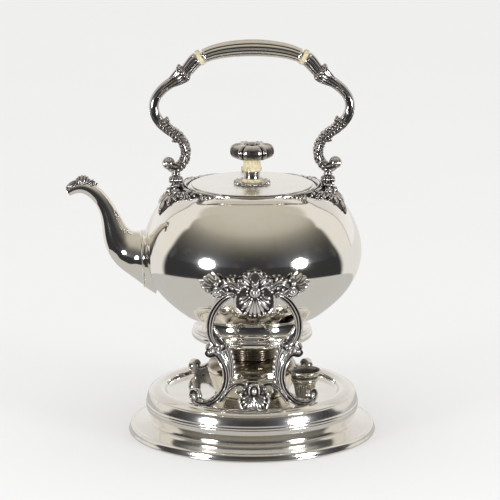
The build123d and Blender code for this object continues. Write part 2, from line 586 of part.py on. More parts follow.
mid = cyl_x(KNUCKLE_R, HINGE_X - MID_HALF, HINGE_X + MID_HALF, 0, HINGE_Z)
clear_l = cyl_x(KNUCKLE_R + 0.3, HINGE_X - 9, HINGE_X - MID_HALF, 0, HINGE_Z)
clear_r = cyl_x(KNUCKLE_R + 0.3, HINGE_X + MID_HALF, HINGE_X + 9, 0, HINGE_Z)
shank = one(one(neck.fuse(mid)) - clear_l - clear_r)
arm = one(arm.fuse(shank))
arm = arm - cyl_x(KNUCKLE_BORE, HINGE_X - 8, HINGE_X + 8, 0, HINGE_Z)
arm_right = one(arm - dowel_right)
arm_left = arm_right.mirror(Plane.YZ)
insulator_right = one(insulator_right - dowel_right)
insulator_left = insulator_right.mirror(Plane.YZ)
dowel_left = dowel_right.mirror(Plane.YZ)
grip = one(grip - dowel_right - dowel_left)
save(arm_left, "handle_arm_left")
save(arm_right, "handle_arm_right")
save(insulator_left, "handle_insulator_left")
save(insulator_right, "handle_insulator_right")
save(Compound(children=[dowel_left, dowel_right]), "handle_dowels")
save(grip, "handle_grip")
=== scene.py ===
import math

import bmesh
import bpy
import numpy as np
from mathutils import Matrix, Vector
from mathutils.bvhtree import BVHTree


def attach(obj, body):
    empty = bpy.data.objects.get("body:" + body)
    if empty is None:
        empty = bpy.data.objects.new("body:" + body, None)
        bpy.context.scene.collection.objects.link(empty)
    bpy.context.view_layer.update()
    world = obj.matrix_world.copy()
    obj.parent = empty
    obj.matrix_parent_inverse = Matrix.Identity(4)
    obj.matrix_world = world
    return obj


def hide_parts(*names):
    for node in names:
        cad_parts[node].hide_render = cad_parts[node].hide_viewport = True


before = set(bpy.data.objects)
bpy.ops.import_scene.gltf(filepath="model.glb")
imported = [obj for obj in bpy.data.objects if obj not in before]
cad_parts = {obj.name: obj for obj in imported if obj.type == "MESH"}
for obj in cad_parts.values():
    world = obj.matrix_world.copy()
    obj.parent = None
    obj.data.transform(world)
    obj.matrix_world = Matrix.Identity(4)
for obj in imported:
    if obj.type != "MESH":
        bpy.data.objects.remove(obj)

MM = 0.001
PI = math.pi
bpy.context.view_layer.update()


# ---------------------------------------------------------------------------
# Curves
# ---------------------------------------------------------------------------
def cubic(points, m):
    """Natural cubic spline through the points, m samples even in chord length."""
    P = np.asarray(points, float)
    k = len(P)
    t = np.concatenate([[0.0], np.cumsum(np.linalg.norm(np.diff(P, axis=0), axis=1))])
    h = np.diff(t)
    A = np.zeros((k, k))
    B = np.zeros((k, P.shape[1]))
    A[0, 0] = A[-1, -1] = 1.0
    for i in range(1, k - 1):
        A[i, i - 1], A[i, i], A[i, i + 1] = h[i - 1], 2 * (h[i - 1] + h[i]), h[i]
        B[i] = 6 * ((P[i + 1] - P[i]) / h[i] - (P[i] - P[i - 1]) / h[i - 1])
    M = np.linalg.solve(A, B)
    x = np.linspace(0.0, t[-1], m)
    j = np.clip(np.searchsorted(t, x, side="right") - 1, 0, k - 2)
    a, b, hj = (t[j + 1] - x)[:, None], (x - t[j])[:, None], h[j][:, None]
    return (M[j] * a**3 + M[j + 1] * b**3) / (6 * hj) + (P[j] / hj - M[j] * hj / 6) * a + (P[j + 1] / hj - M[j + 1] * hj / 6) * b


def fair(P, stiffness=3e3):
    """The same curve with its small wobbles ironed out; the ends stay."""
    n = len(P)
    D = np.diff(np.eye(n), 3, axis=0)
    W = np.ones(n)
    W[0] = W[-1] = 1e7
    A = np.diag(W) + stiffness * D.T @ D
    return np.linalg.solve(A, P * W[:, None])


def resample(P, m):
    P = np.asarray(P, float)
    t = np.concatenate([[0.0], np.cumsum(np.linalg.norm(np.diff(P, axis=0), axis=1))])
    x = np.linspace(0.0, t[-1], m)
    return np.stack([np.interp(x, t, P[:, k]) for k in range(P.shape[1])], axis=-1)


def arc_length(P):
    return float(np.linalg.norm(np.diff(P, axis=0), axis=1).sum())


def trimmed(run, d, at_end):
    """The run without its last (or first) stretch of length d, and the point where it now stops."""
    P = run[::-1] if at_end else run
    t = np.concatenate([[0.0], np.cumsum(np.linalg.norm(np.diff(P, axis=0), axis=1))])
    q = np.array([np.interp(d, t, P[:, k]) for k in range(P.shape[1])])
    kept = np.vstack([q[None, :], P[t > d + 1e-9]])
    return kept[::-1] if at_end else kept


def profile(segs, ds=0.7, fillet=0.35, closed=False):
    """A dense outline of (r, z) from straight (2 points) and curved (3 or more) runs, its corners rounded."""
    runs = []
    for s in segs:
        s = np.asarray(s, float)
        m = max(3, int(arc_length(s) / ds) + 2)
        runs.append(cubic(s, m) if len(s) > 2 else s[0] + (s[1] - s[0]) * np.linspace(0, 1, m)[:, None])
    n = len(runs)
    corners = []
    for i in range(n if closed else n - 1):
        a, b = runs[i], runs[(i + 1) % n]
        ta, tb = a[-1] - a[-2], b[1] - b[0]
        c = float(np.dot(ta, tb) / (np.linalg.norm(ta) * np.linalg.norm(tb) + 1e-12))
        corners.append(math.acos(max(-1.0, min(1.0, c))) > 0.17)
    lengths = [arc_length(r) for r in runs]
    for i, corner in enumerate(corners):
        j = (i + 1) % n
        if corner:
            d = min(fillet, 0.42 * lengths[i], 0.42 * lengths[j])
            q = runs[i][-1].copy()
            runs[i] = trimmed(runs[i], d, True)
            runs[j] = trimmed(runs[j], d, False)
            a, b = runs[i][-1], runs[j][0]
            u = np.linspace(0, 1, 6)[1:-1, None]
            runs[i] = np.vstack([runs[i], (1 - u) ** 2 * a + 2 * u * (1 - u) * q + u**2 * b])
    P = np.vstack(runs)
    keep = np.concatenate([[True], np.linalg.norm(np.diff(P, axis=0), axis=1) > 1e-4])
    P = P[keep]
    if closed and np.linalg.norm(P[0] - P[-1]) < 1e-3:
        P = P[:-1]
    return P


def poly(points):
    """Runs for profile() from a plain polygon of (r, z)."""
    return [[a, b] for a, b in zip(points, points[1:])]


# ---------------------------------------------------------------------------
# Meshes
# ---------------------------------------------------------------------------
class Geo:
    """Closed shells gathered into one mesh, in millimetres."""

    def __init__(self):
        self.v, self.f, self.n, self.k = [], [], 0, []

    def add(self, V, F, fix=True, shade_and_tarnish=0.0):
        V = np.asarray(V, float)
        F = [np.asarray(f, np.int64) for f in (F if isinstance(F, list) else [F])]
        if fix:
            c = V.mean(axis=0)
            vol = 0.0
            for f in F:
                a = V[f[:, 0]] - c
                for k in range(1, f.shape[1] - 1):
                    vol += float(np.einsum("ij,ij->i", a, np.cross(V[f[:, k]] - c, V[f[:, k + 1]] - c)).sum())
            if vol < 0:
                F = [f[:, ::-1] for f in F]
        self.v.append(V)
        self.k.append(np.broadcast_to(np.asarray(shade_and_tarnish, float), (len(V),)))
        self.f += [f + self.n for f in F]
        self.n += len(V)

    def grid(self, P, wrap_u=False, wrap_v=False, caps=False, fix=True, shade_and_tarnish=0.0):
        """P is (nu, nv, 3). caps closes the two u ends of a tube with a fan each. The last argument gives how dark each
        point is painted: painted shade, painted reflection and tarnish.
        """
        shade_and_tarnish = np.broadcast_to(np.asarray(shade_and_tarnish, float), P.shape[:2]).reshape(-1)
        nu, nv = P.shape[:2]
        idx = np.arange(nu * nv).reshape(nu, nv)
        iu = np.arange(nu if wrap_u else nu - 1)
        iv = np.arange(nv if wrap_v else nv - 1)
        a = idx[np.ix_(iu, iv)]
        b = idx[np.ix_((iu + 1) % nu, iv)]
        c = idx[np.ix_((iu + 1) % nu, (iv + 1) % nv)]
        d = idx[np.ix_(iu, (iv + 1) % nv)]
        quads = np.stack([a, b, c, d], axis=-1).reshape(-1, 4)
        V = P.reshape(-1, 3)
        F = [quads]
        if caps:
            V = np.vstack([V, P[0].mean(axis=0), P[-1].mean(axis=0)])
            shade_and_tarnish = np.concatenate([shade_and_tarnish, [shade_and_tarnish[0], shade_and_tarnish[-1]]])
            k0, k1 = nu * nv, nu * nv + 1
            ring = np.arange(nv)
            nxt = (ring + 1) % nv
            F.append(np.stack([idx[0][ring], idx[0][nxt], np.full(nv, k0)], axis=-1))
            F.append(np.stack([idx[-1][nxt], idx[-1][ring], np.full(nv, k1)], axis=-1))
        self.add(V, F, fix, shade_and_tarnish)

    def relief(self, A, B, H, back, place, shade_and_tarnish=0.0):
        """A closed solid whose face is the height field H over (A, B) and whose back lies at height back."""
        nu, nv = A.shape
        top = place(A, B, H)
        bot = place(A, B, np.broadcast_to(np.asarray(back, float), A.shape))
        n = nu * nv
        idx = np.arange(n).reshape(nu, nv)
        a, b, c, d = idx[:-1, :-1], idx[1:, :-1], idx[1:, 1:], idx[:-1, 1:]
        quads = np.stack([a, b, c, d], axis=-1).reshape(-1, 4)
        rim = np.concatenate([idx[:, 0], idx[-1, 1:], idx[-2::-1, -1], idx[0, -2:0:-1]])
        nxt = np.roll(rim, -1)
        walls = np.stack([nxt, rim, rim + n, nxt + n], axis=-1)
        self.add(np.vstack([top.reshape(-1, 3), bot.reshape(-1, 3)]), [quads, quads[:, ::-1] + n, walls], shade_and_tarnish=shade_and_tarnish)

    def merge(self, other, move=None):
        for V in other.v:
            self.v.append(V if move is None else move(V))
        self.k += other.k
        self.f += [f + self.n for f in other.f]
        self.n += other.n

    def turned(self, matrix, flip=False):
        """A copy of everything under a 3 x 3 matrix."""
        out = Geo()
        out.v = [V @ np.asarray(matrix, float).T for V in self.v]
        out.f = [f[:, ::-1] if flip else f for f in self.f]
        out.n, out.k = self.n, self.k
        return out

    def arrays(self):
        return np.vstack(self.v), self.f


MIRROR_X = np.diag([-1.0, 1.0, 1.0])
TURN_Z = np.diag([-1.0, -1.0, 1.0])


def ball(geo, centre, r, squash=(1, 1, 1), n=14, dent=None):
    th = np.linspace(0, PI, n)
    ph = np.arange(2 * n) * PI / n
    T, Q = np.meshgrid(th, ph, indexing="ij")
    R = r * np.ones_like(T) if dent is None else r * dent(T, Q)
    P = np.stack([R * np.sin(T) * np.cos(Q) * squash[0], R * np.sin(T) * np.sin(Q) * squash[1], R * np.cos(T) * squash[2]], axis=-1)
    geo.grid(P + np.asarray(centre, float), wrap_v=True)


def lathe(geo, P, n=160, centre=(0.0, 0.0), closed=False, mod=None, shade_and_tarnish=None):
    """Turns the outline P of (r, z) about the vertical through centre. mod(angle, r, z) may give new (r, z); the last
    argument, a function of (angle, r, z), gives how dark each point is painted: painted shade, painted reflection and
    tarnish.
    """
    th = (np.arange(n) * 2 * PI / n)[:, None]
    R = np.broadcast_to(P[:, 0], (n, len(P))).copy()
    Z = np.broadcast_to(P[:, 1], (n, len(P))).copy()
    dark = 0.0 if shade_and_tarnish is None else shade_and_tarnish(np.broadcast_to(th, R.shape), R, Z)
    if mod is not None:
        R, Z = mod(np.broadcast_to(th, R.shape), R, Z)
    G = np.stack([centre[0] + R * np.sin(th), centre[1] - R * np.cos(th), Z], axis=-1)
    geo.grid(G, wrap_u=True, wrap_v=closed, shade_and_tarnish=dark)


def frames_xz(C):
    """Tangents and in-plane normals of a path in the XZ plane."""
    T = np.gradient(C, axis=0)
    T /= np.linalg.norm(T, axis=1)[:, None]
    N = np.stack([T[:, 2], np.zeros(len(T)), -T[:, 0]], axis=-1)
    return T, N


def tube_xz(geo, C, R, n=48, shape=None, caps=True, tangents=None):
    """A tube round a path in the XZ plane. shape(i/m, angle) scales the radius; angle 0 is the outside of the bend, +90 degrees is +Y."""
    T, N = frames_xz(C)
    if tangents is not None:
        T = tangents
        N = np.stack([T[:, 2], np.zeros(len(T)), -T[:, 0]], axis=-1)
    m = len(C)
    ang = (np.arange(n) * 2 * PI / n)[None, :]
    U = np.linspace(0, 1, m)[:, None]
    S = np.ones((m, n)) if shape is None else shape(np.broadcast_to(U, (m, n)), np.broadcast_to(ang, (m, n)))
    RR = np.asarray(R, float).reshape(m, 1) * S
    P = C[:, None, :] + RR[..., None] * (np.cos(ang)[..., None] * N[:, None, :] + np.sin(ang)[..., None] * np.array([0.0, 1.0, 0.0]))
    geo.grid(P, wrap_v=True, caps=caps)
    return P


def bump(x, c, w):
    return np.exp(-(((x - c) / w) ** 2))


def step(x, a, b):
    t = np.clip((x - a) / (b - a), 0, 1)
    return t * t * (3 - 2 * t)


def occlusion(V, N, F, reach, rays=16):
    """Share of the sky that the mesh itself hides from each vertex, within reach."""
    polys = []
    for f in F:
        polys += f.tolist()
    tree = BVHTree.FromPolygons(V.tolist(), polys, epsilon=0.0)
    k = np.arange(rays) + 0.5
    cz = np.sqrt(1 - k / rays * 0.94)
    sz = np.sqrt(1 - cz**2)
    ph = k * PI * (3 - math.sqrt(5))
    out = np.zeros(len(V))
    up = np.where(np.abs(N[:, 2:3]) < 0.9, [[0.0, 0.0, 1.0]], [[1.0, 0.0, 0.0]])
    TX = np.cross(up, N)
    TX /= np.linalg.norm(TX, axis=1)[:, None] + 1e-12
    TY = np.cross(N, TX)
    O = V + N * 0.04
    spin = (np.arange(len(V)) * 2.399963) % (2 * PI)
    for i in range(rays):
        c, s = np.cos(ph[i] + spin)[:, None], np.sin(ph[i] + spin)[:, None]
        D = sz[i] * (c * TX + s * TY) + cz[i] * N
        for j, (o, d) in enumerate(zip(O.tolist(), D.tolist())):
            hit = tree.ray_cast(o, d, reach)
            if hit[0] is not None:
                out[j] += 1.0 - 0.6 * hit[3] / reach
    return out / rays


def smooth_field(x, F, times=2):
    """Averages a per-vertex value over neighbours."""
    a = np.concatenate([np.concatenate([f[:, k] for k in range(f.shape[1])]) for f in F])
    b = np.concatenate([np.concatenate([f[:, (k + 1) % f.shape[1]] for k in range(f.shape[1])]) for f in F])
    n = len(x)
    deg = np.bincount(a, minlength=n) + np.bincount(b, minlength=n)
    for _ in range(times):
        x = 0.5 * x + 0.5 * (np.bincount(a, x[b], n) + np.bincount(b, x[a], n)) / np.maximum(deg, 1)
    return x


def make(geo, name, material, body, nodes=(), sharp=40.0, cav=None, weld=True, reach=2.2, rays=14):
    """The object: its mesh, its shading, its recesses darkened by painted shade and tarnish, the body that it rides on
    and the nodes that it stands for.
    """
    V, F = geo.arrays()
    me = bpy.data.meshes.new(name)
    me.from_pydata((V * MM).tolist(), [], [p for f in F for p in f.tolist()])
    me.attributes.new("shade_and_tarnish", "FLOAT", "POINT").data.foreach_set("value", np.concatenate(geo.k).astype(np.float32))
    if weld:
        bm = bmesh.new()
        bm.from_mesh(me)
        bmesh.ops.remove_doubles(bm, verts=bm.verts, dist=2e-7)
        bmesh.ops.dissolve_degenerate(bm, edges=bm.edges, dist=1e-8)
        bm.to_mesh(me)
        bm.free()
    me.polygons.foreach_set("use_smooth", [True] * len(me.polygons))
    me.set_sharp_from_angle(angle=math.radians(sharp))
    me.update()
    n = len(me.vertices)
    if cav:
        co, no = np.empty(n * 3), np.empty(n * 3)
        me.vertices.foreach_get("co", co)
        me.vertices.foreach_get("normal", no)
        co, no = co.reshape(-1, 3) / MM, no.reshape(-1, 3)
        loops = np.empty(len(me.loops), np.int64)
        me.loops.foreach_get("vertex_index", loops)
        start, total = np.empty(len(me.polygons), np.int64), np.empty(len(me.polygons), np.int64)
        me.polygons.foreach_get("loop_start", start)
        me.polygons.foreach_get("loop_total", total)
        faces = [loops[start[total == k][:, None] + np.arange(k)] for k in np.unique(total)]
        # cav: ray-cast occlusion, the shade in the mesh's own hollows, which the materials paint into the colour
        value = occlusion(co, no, faces, reach, rays)
        value = smooth_field(value, faces, 2)
    else:
        value = np.zeros(n)
    shade_and_tarnish = np.zeros(n, np.float32)
    me.attributes["shade_and_tarnish"].data.foreach_get("value", shade_and_tarnish)
    # joined with the darkness set in code: painted shade, painted reflection and tarnish
    value = np.maximum(value, shade_and_tarnish)
    me.attributes.remove(me.attributes["shade_and_tarnish"])
    me.attributes.new("cav", "FLOAT", "POINT").data.foreach_set("value", value.astype(np.float32))
    me.materials.append(material)
    ob = bpy.data.objects.new(name, me)
    bpy.context.scene.collection.objects.link(ob)
    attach(ob, body)
    if nodes:
        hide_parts(*nodes)
    return ob


# ---------------------------------------------------------------------------
# Materials
# ---------------------------------------------------------------------------
class Tree:
    def __init__(self, nt):
        self.nt = nt

    def node(self, kind, **props):
        n = self.nt.nodes.new(kind)
        for k, v in props.items():
            setattr(n, k, v)
        return n

    def link(self, a, b):
        self.nt.links.new(a, b)

    def put(self, socket, value):
        if hasattr(value, "is_output"):
            self.link(value, socket)
        else:
            socket.default_value = value

    def math(self, op, a, b=None, c=None, clamp=False):
        n = self.node("ShaderNodeMath", operation=op, use_clamp=clamp)
        for s, v in zip(n.inputs, (a, b, c)):
            if v is not None:
                self.put(s, v)
        return n.outputs[0]

    def ramp(self, x, lo, hi, to_lo=0.0, to_hi=1.0, smooth=True):
        n = self.node("ShaderNodeMapRange", interpolation_type="SMOOTHSTEP" if smooth else "LINEAR")
        for s, v in zip(n.inputs, (x, lo, hi, to_lo, to_hi)):
            self.put(s, v)
        return n.outputs[0]

    def mix(self, fac, a, b):
        n = self.node("ShaderNodeMix", data_type="RGBA")
        self.put(n.inputs[0], fac)
        self.put(n.inputs[6], a)
        self.put(n.inputs[7], b)
        return n.outputs[2]

    def noise(self, vector, scale, detail=3.0, rough=0.5, distortion=0.0):
        n = self.node("ShaderNodeTexNoise")
        self.put(n.inputs["Vector"], vector)
        n.inputs["Scale"].default_value = scale
        n.inputs["Detail"].default_value = detail
        n.inputs["Roughness"].default_value = rough
        n.inputs["Distortion"].default_value = distortion
        return n.outputs["Fac"]

    def combine(self, x, y, z):
        n = self.node("ShaderNodeCombineXYZ")
        for s, v in zip(n.inputs, (x, y, z)):
            self.put(s, v)
        return n.outputs[0]

    def bump(self, height, strength, distance, normal=None):
        n = self.node("ShaderNodeBump")
        n.inputs["Strength"].default_value = strength
        n.inputs["Distance"].default_value = distance
        self.link(height, n.inputs["Height"])
        if normal is not None:
            self.link(normal, n.inputs["Normal"])
        return n.outputs[0]


def material(name):
    m = bpy.data.materials.new(name)
    m.use_nodes = True
    t = Tree(m.node_tree)
    b = m.node_tree.nodes["Principled BSDF"]
    place = t.node("ShaderNodeTexCoord").outputs["Object"]
    return m, t, b, place


def rgb(r, g, b):
    return (r, g, b, 1.0)


def silver(name, centre=None, bright=(0.955, 0.94, 0.905), warm=(0.93, 0.895, 0.82), rough=(0.045, 0.12), spin=0.0, hollow_tarnish_and_shade=0.0,
           hollow_tarnish_and_shade_from=0.10, hollow_tarnish_and_shade_to=0.55, dark=(0.055, 0.048, 0.045), tint=(0.62, 0.58, 0.60), waves=0.02, scratch=0.35):
    """Silver plate: bright where it is rubbed, warmer where it has dulled, with fine wiping scratches. spin turns the
    scratches into circles round the vertical through centre. The darkening arguments darken and tint the recesses that
    the mesh's cav value marks: tarnish in the hollows and painted shade."""
    m, t, b, place = material(name)
    soft = t.noise(place, 14.0, 2.0, 0.5)
    film = t.noise(place, 55.0, 4.0, 0.62)
    xyz = t.node("ShaderNodeSeparateXYZ")
    t.link(place, xyz.inputs[0])
    x, y, z = xyz.outputs
    # fine scratches: two families of stretched noise, crossing at a shallow angle
    one_way = t.noise(t.combine(t.math("MULTIPLY", x, 90.0), t.math("MULTIPLY", y, 90.0), t.math("MULTIPLY", z, 2600.0)), 1.0, 2.0, 0.6)
    other = t.noise(t.combine(t.math("MULTIPLY", t.math("ADD", x, z), 1700.0), t.math("MULTIPLY", y, 260.0),
                              t.math("MULTIPLY", t.math("SUBTRACT", z, x), 120.0)), 1.0, 2.0, 0.6)
    lines = t.math("ADD", t.math("MULTIPLY", one_way, 0.5), t.math("MULTIPLY", other, 0.5))
    if spin:
        cx, cy = centre or (0.0, 0.0)
        dx, dy = t.math("SUBTRACT", x, cx * MM), t.math("SUBTRACT", y, cy * MM)
        radius = t.math("SQRT", t.math("ADD", t.math("MULTIPLY", dx, dx), t.math("MULTIPLY", dy, dy)))
        rings = t.noise(t.combine(t.math("MULTIPLY", radius, 2300.0), t.math("MULTIPLY", t.math("MULTIPLY", dx, dy), 900.0), t.math("MULTIPLY", z, 2300.0)),
                        1.0, 3.0, 0.7)
        lines = t.math("ADD", t.math("MULTIPLY", lines, 1.0 - spin), t.math("MULTIPLY", rings, spin))
    hair = t.ramp(lines, 0.52, 0.72)
    tone = t.mix(t.ramp(film, 0.35, 0.75, 0.0, 0.75), rgb(*bright), rgb(*warm))
    r = t.math("ADD", t.ramp(soft, 0.3, 0.7, rough[0], 0.5 * (rough[0] + rough[1])), t.math("MULTIPLY", hair, scratch * (rough[1] - rough[0]) * 2))
    # tarnish and painted shade: the cav value (occlusion and darkness set in code) darkens, tints and roughens the
    # recesses
    if hollow_tarnish_and_shade:
        cav = t.node("ShaderNodeAttribute", attribute_name="cav", attribute_type="GEOMETRY").outputs["Fac"]
        tarnish_and_shade_mask = t.math("ADD", cav, t.math("MULTIPLY", t.math("SUBTRACT", t.noise(place, 420.0, 4.0, 0.65), 0.5), 0.22))
        middle = t.ramp(tarnish_and_shade_mask, hollow_tarnish_and_shade_from * 0.4, (hollow_tarnish_and_shade_from + hollow_tarnish_and_shade_to) / 2)
        deep = t.ramp(tarnish_and_shade_mask, hollow_tarnish_and_shade_from, hollow_tarnish_and_shade_to, 0.0, hollow_tarnish_and_shade)
        tone = t.mix(t.math("MULTIPLY", middle, 0.7 * hollow_tarnish_and_shade), tone, rgb(*tint))
        tone = t.mix(deep, tone, rgb(*dark))
        r = t.math("ADD", r, t.math("MULTIPLY", deep, 0.34))
    t.link(tone, b.inputs["Base Color"])
    t.link(r, b.inputs["Roughness"])
    b.inputs["Metallic"].default_value = 1.0
    n = t.bump(t.noise(place, 38.0, 1.0, 0.4), waves, 0.0012)
    n = t.bump(lines, 0.035, 0.00006, n)
    t.link(n, b.inputs["Normal"])
    return m


def ivory(name, light=1.0, grain=(700.0, 700.0, 60.0)):
    """Old ivory-coloured insulator: creamy with a fine straight grain, a darker yellow-brown in the hollows that the
    cav value marks: dirt there and painted shade.
    """
    m, t, b, place = material(name)
    xyz = t.node("ShaderNodeSeparateXYZ")
    t.link(place, xyz.inputs[0])
    x, y, z = xyz.outputs
    g = t.noise(t.combine(t.math("MULTIPLY", x, grain[0]), t.math("MULTIPLY", y, grain[1]), t.math("MULTIPLY", z, grain[2])), 1.0, 4.0, 0.6, 0.6)
    cloud = t.noise(place, 130.0, 3.0, 0.5)
    tone = t.mix(t.ramp(g, 0.3, 0.72), rgb(*(c * light for c in (0.74, 0.675, 0.46))), rgb(*(c * light for c in (0.50, 0.405, 0.22))))
    tone = t.mix(t.ramp(cloud, 0.35, 0.75, 0.0, 0.6), tone, rgb(*(c * light for c in (0.80, 0.75, 0.57))))
    # painted shade and dirt in the hollows: darker brown where cav (occlusion and darkness set in code) is high
    cav = t.node("ShaderNodeAttribute", attribute_name="cav", attribute_type="GEOMETRY").outputs["Fac"]
    tone = t.mix(t.ramp(t.math("ADD", cav, t.math("MULTIPLY", t.math("SUBTRACT", cloud, 0.5), 0.2)), 0.12, 0.6), tone, rgb(0.26, 0.19, 0.08))
    t.link(tone, b.inputs["Base Color"])
    t.link(t.ramp(g, 0.2, 0.8, 0.30, 0.44), b.inputs["Roughness"])
    b.inputs["Subsurface Weight"].default_value = 0.15
    b.inputs["Subsurface Radius"].default_value = (0.0012, 0.0008, 0.0004)
    t.link(t.bump(g, 0.12, 0.00015), b.inputs["Normal"])
    return m


def steel(name):
    m, t, b, place = material(name)
    g = t.noise(place, 900.0, 3.0, 0.6)
    t.link(t.mix(t.ramp(g, 0.3, 0.7), rgb(0.46, 0.44, 0.42), rgb(0.22, 0.20, 0.19)), b.inputs["Base Color"])
    b.inputs["Metallic"].default_value = 1.0
    t.link(t.ramp(g, 0.3, 0.7, 0.22, 0.4), b.inputs["Roughness"])
    t.link(t.bump(g, 0.1, 0.00005), b.inputs["Normal"])
    return m


def brass(name):
    m, t, b, place = material(name)
    g = t.noise(place, 260.0, 4.0, 0.6)
    t.link(t.mix(t.ramp(g, 0.3, 0.7), rgb(0.58, 0.42, 0.20), rgb(0.24, 0.15, 0.07)), b.inputs["Base Color"])
    b.inputs["Metallic"].default_value = 1.0
    t.link(t.ramp(g, 0.3, 0.7, 0.22, 0.45), b.inputs["Roughness"])
    t.link(t.bump(g, 0.15, 0.00008), b.inputs["Normal"])
    return m


def cotton(name):
    m, t, b, place = material(name)
    xyz = t.node("ShaderNodeSeparateXYZ")
    t.link(place, xyz.inputs[0])
    x, y, z = xyz.outputs
    a = t.math("SINE", t.math("MULTIPLY", t.math("ADD", x, y), 4200.0))
    c = t.math("SINE", t.math("MULTIPLY", t.math("SUBTRACT", x, y), 4200.0))
    weave = t.math("MULTIPLY", a, c)
    fuzz = t.noise(place, 2400.0, 4.0, 0.7)
    char = t.ramp(z, 0.066, 0.0705)
    tone = t.mix(t.ramp(fuzz, 0.3, 0.7), rgb(0.72, 0.66, 0.54), rgb(0.52, 0.45, 0.34))
    tone = t.mix(t.math("MULTIPLY", char, t.ramp(t.noise(place, 320.0, 3.0), 0.35, 0.6)), tone, rgb(0.03, 0.025, 0.022))
    t.link(tone, b.inputs["Base Color"])
    b.inputs["Roughness"].default_value = 0.95
    b.inputs["Specular IOR Level"].default_value = 0.15
    t.link(t.bump(t.math("ADD", weave, fuzz), 0.6, 0.0003), b.inputs["Normal"])
    return m


BODY_SILVER = silver("silver_body", (0, 0), spin=0.75, rough=(0.05, 0.13), waves=0.03)
SPUN_SILVER = silver("silver_spun", (0, 0), spin=0.8, bright=(0.90, 0.885, 0.855), warm=(0.87, 0.84, 0.775), rough=(0.045, 0.13), waves=0.03, hollow_tarnish_and_shade=0.45, hollow_tarnish_and_shade_from=0.3, hollow_tarnish_and_shade_to=0.8)
PLAIN_SILVER = silver("silver_plain", rough=(0.05, 0.13), waves=0.03, hollow_tarnish_and_shade=0.5, hollow_tarnish_and_shade_from=0.25, hollow_tarnish_and_shade_to=0.7)
CAP_SILVER = silver("silver_cap", (41.5, -27.0), spin=0.7, rough=(0.15, 0.28), hollow_tarnish_and_shade=0.85, bright=(0.67, 0.645, 0.55), warm=(0.53, 0.49, 0.37), hollow_tarnish_and_shade_from=0.10, hollow_tarnish_and_shade_to=0.5)
CAST_SILVER = silver("silver_cast", rough=(0.12, 0.24), hollow_tarnish_and_shade=0.96, hollow_tarnish_and_shade_from=0.10, hollow_tarnish_and_shade_to=0.45, waves=0.05, bright=(0.86, 0.84, 0.83), warm=(0.80, 0.77, 0.73))
MOUNT_SILVER = silver("silver_mount", rough=(0.09, 0.2), hollow_tarnish_and_shade=0.96, hollow_tarnish_and_shade_from=0.08, hollow_tarnish_and_shade_to=0.40, waves=0.05, bright=(0.80, 0.78, 0.77), warm=(0.68, 0.64, 0.60))
ARM_SILVER = silver("silver_arm", rough=(0.09, 0.2), hollow_tarnish_and_shade=0.95, hollow_tarnish_and_shade_from=0.08, hollow_tarnish_and_shade_to=0.42, waves=0.05, bright=(0.62, 0.60, 0.585), warm=(0.50, 0.46, 0.42))
KNOB_SILVER = silver("silver_knob", rough=(0.10, 0.2), hollow_tarnish_and_shade=0.96, hollow_tarnish_and_shade_from=0.08, hollow_tarnish_and_shade_to=0.38, waves=0.03, bright=(0.66, 0.64, 0.62), warm=(0.52, 0.48, 0.43))
ROSE_SILVER = silver("silver_rosette", rough=(0.08, 0.18), hollow_tarnish_and_shade=0.96, hollow_tarnish_and_shade_from=0.08, hollow_tarnish_and_shade_to=0.4, waves=0.03, bright=(0.66, 0.64, 0.61), warm=(0.50, 0.46, 0.40))
TIP_SILVER = silver("silver_tip", rough=(0.20, 0.34), hollow_tarnish_and_shade=0.95, hollow_tarnish_and_shade_from=0.06, hollow_tarnish_and_shade_to=0.38, waves=0.05, bright=(0.58, 0.56, 0.545), warm=(0.48, 0.44, 0.40))
TRAY_SILVER = silver("silver_tray", (0, 0), spin=0.8, bright=(0.90, 0.885, 0.855), warm=(0.87, 0.84, 0.775), rough=(0.10, 0.19), waves=0.035, hollow_tarnish_and_shade=0.45, hollow_tarnish_and_shade_from=0.3, hollow_tarnish_and_shade_to=0.8)
IVORY = ivory("ivory_upright")
IVORY_BAND = ivory("ivory_band", 0.80, grain=(160.0, 900.0, 520.0))
STEEL = steel("steel_screw")
BRASS = brass("brass_dull")
COTTON = cotton("cotton_wick")
CAP_SILVER2 = silver("silver_bowl", (0, 0), spin=0.6, rough=(0.06, 0.18), hollow_tarnish_and_shade=0.92, warm=(0.76, 0.70, 0.56), bright=(0.88, 0.85, 0.77), tint=(0.42, 0.35, 0.24), dark=(0.06, 0.045, 0.03), hollow_tarnish_and_shade_from=0.18, hollow_tarnish_and_shade_to=0.6)
# the burner collar's dark brown silver: dull tarnished metal, and painted shade from the kettle's foot above
SHADED_DULL_SILVER = silver("silver_dull_and_shaded", (0, 0), spin=0.6, rough=(0.14, 0.32), hollow_tarnish_and_shade=0.9, warm=(0.20, 0.155, 0.10), bright=(0.36, 0.30, 0.22), hollow_tarnish_and_shade_from=0.12, hollow_tarnish_and_shade_to=0.5)
LID_SILVER = silver("silver_lid", (0, 0), spin=0.85, rough=(0.24, 0.36), waves=0.03, bright=(0.99, 0.98, 0.955), warm=(0.965, 0.945, 0.905), hollow_tarnish_and_shade=0.95, hollow_tarnish_and_shade_from=0.55, hollow_tarnish_and_shade_to=0.85)
KNOB_PLAIN = silver("silver_ring", (0, 0), spin=0.6, rough=(0.08, 0.18), hollow_tarnish_and_shade=0.8, bright=(0.66, 0.64, 0.62), warm=(0.52, 0.48, 0.43), hollow_tarnish_and_shade_from=0.2, hollow_tarnish_and_shade_to=0.6)
GRIP_SILVER = silver("silver_grip", rough=(0.07, 0.16), hollow_tarnish_and_shade=0.9, hollow_tarnish_and_shade_from=0.06, hollow_tarnish_and_shade_to=0.34, waves=0.02, bright=(0.90, 0.875, 0.84))
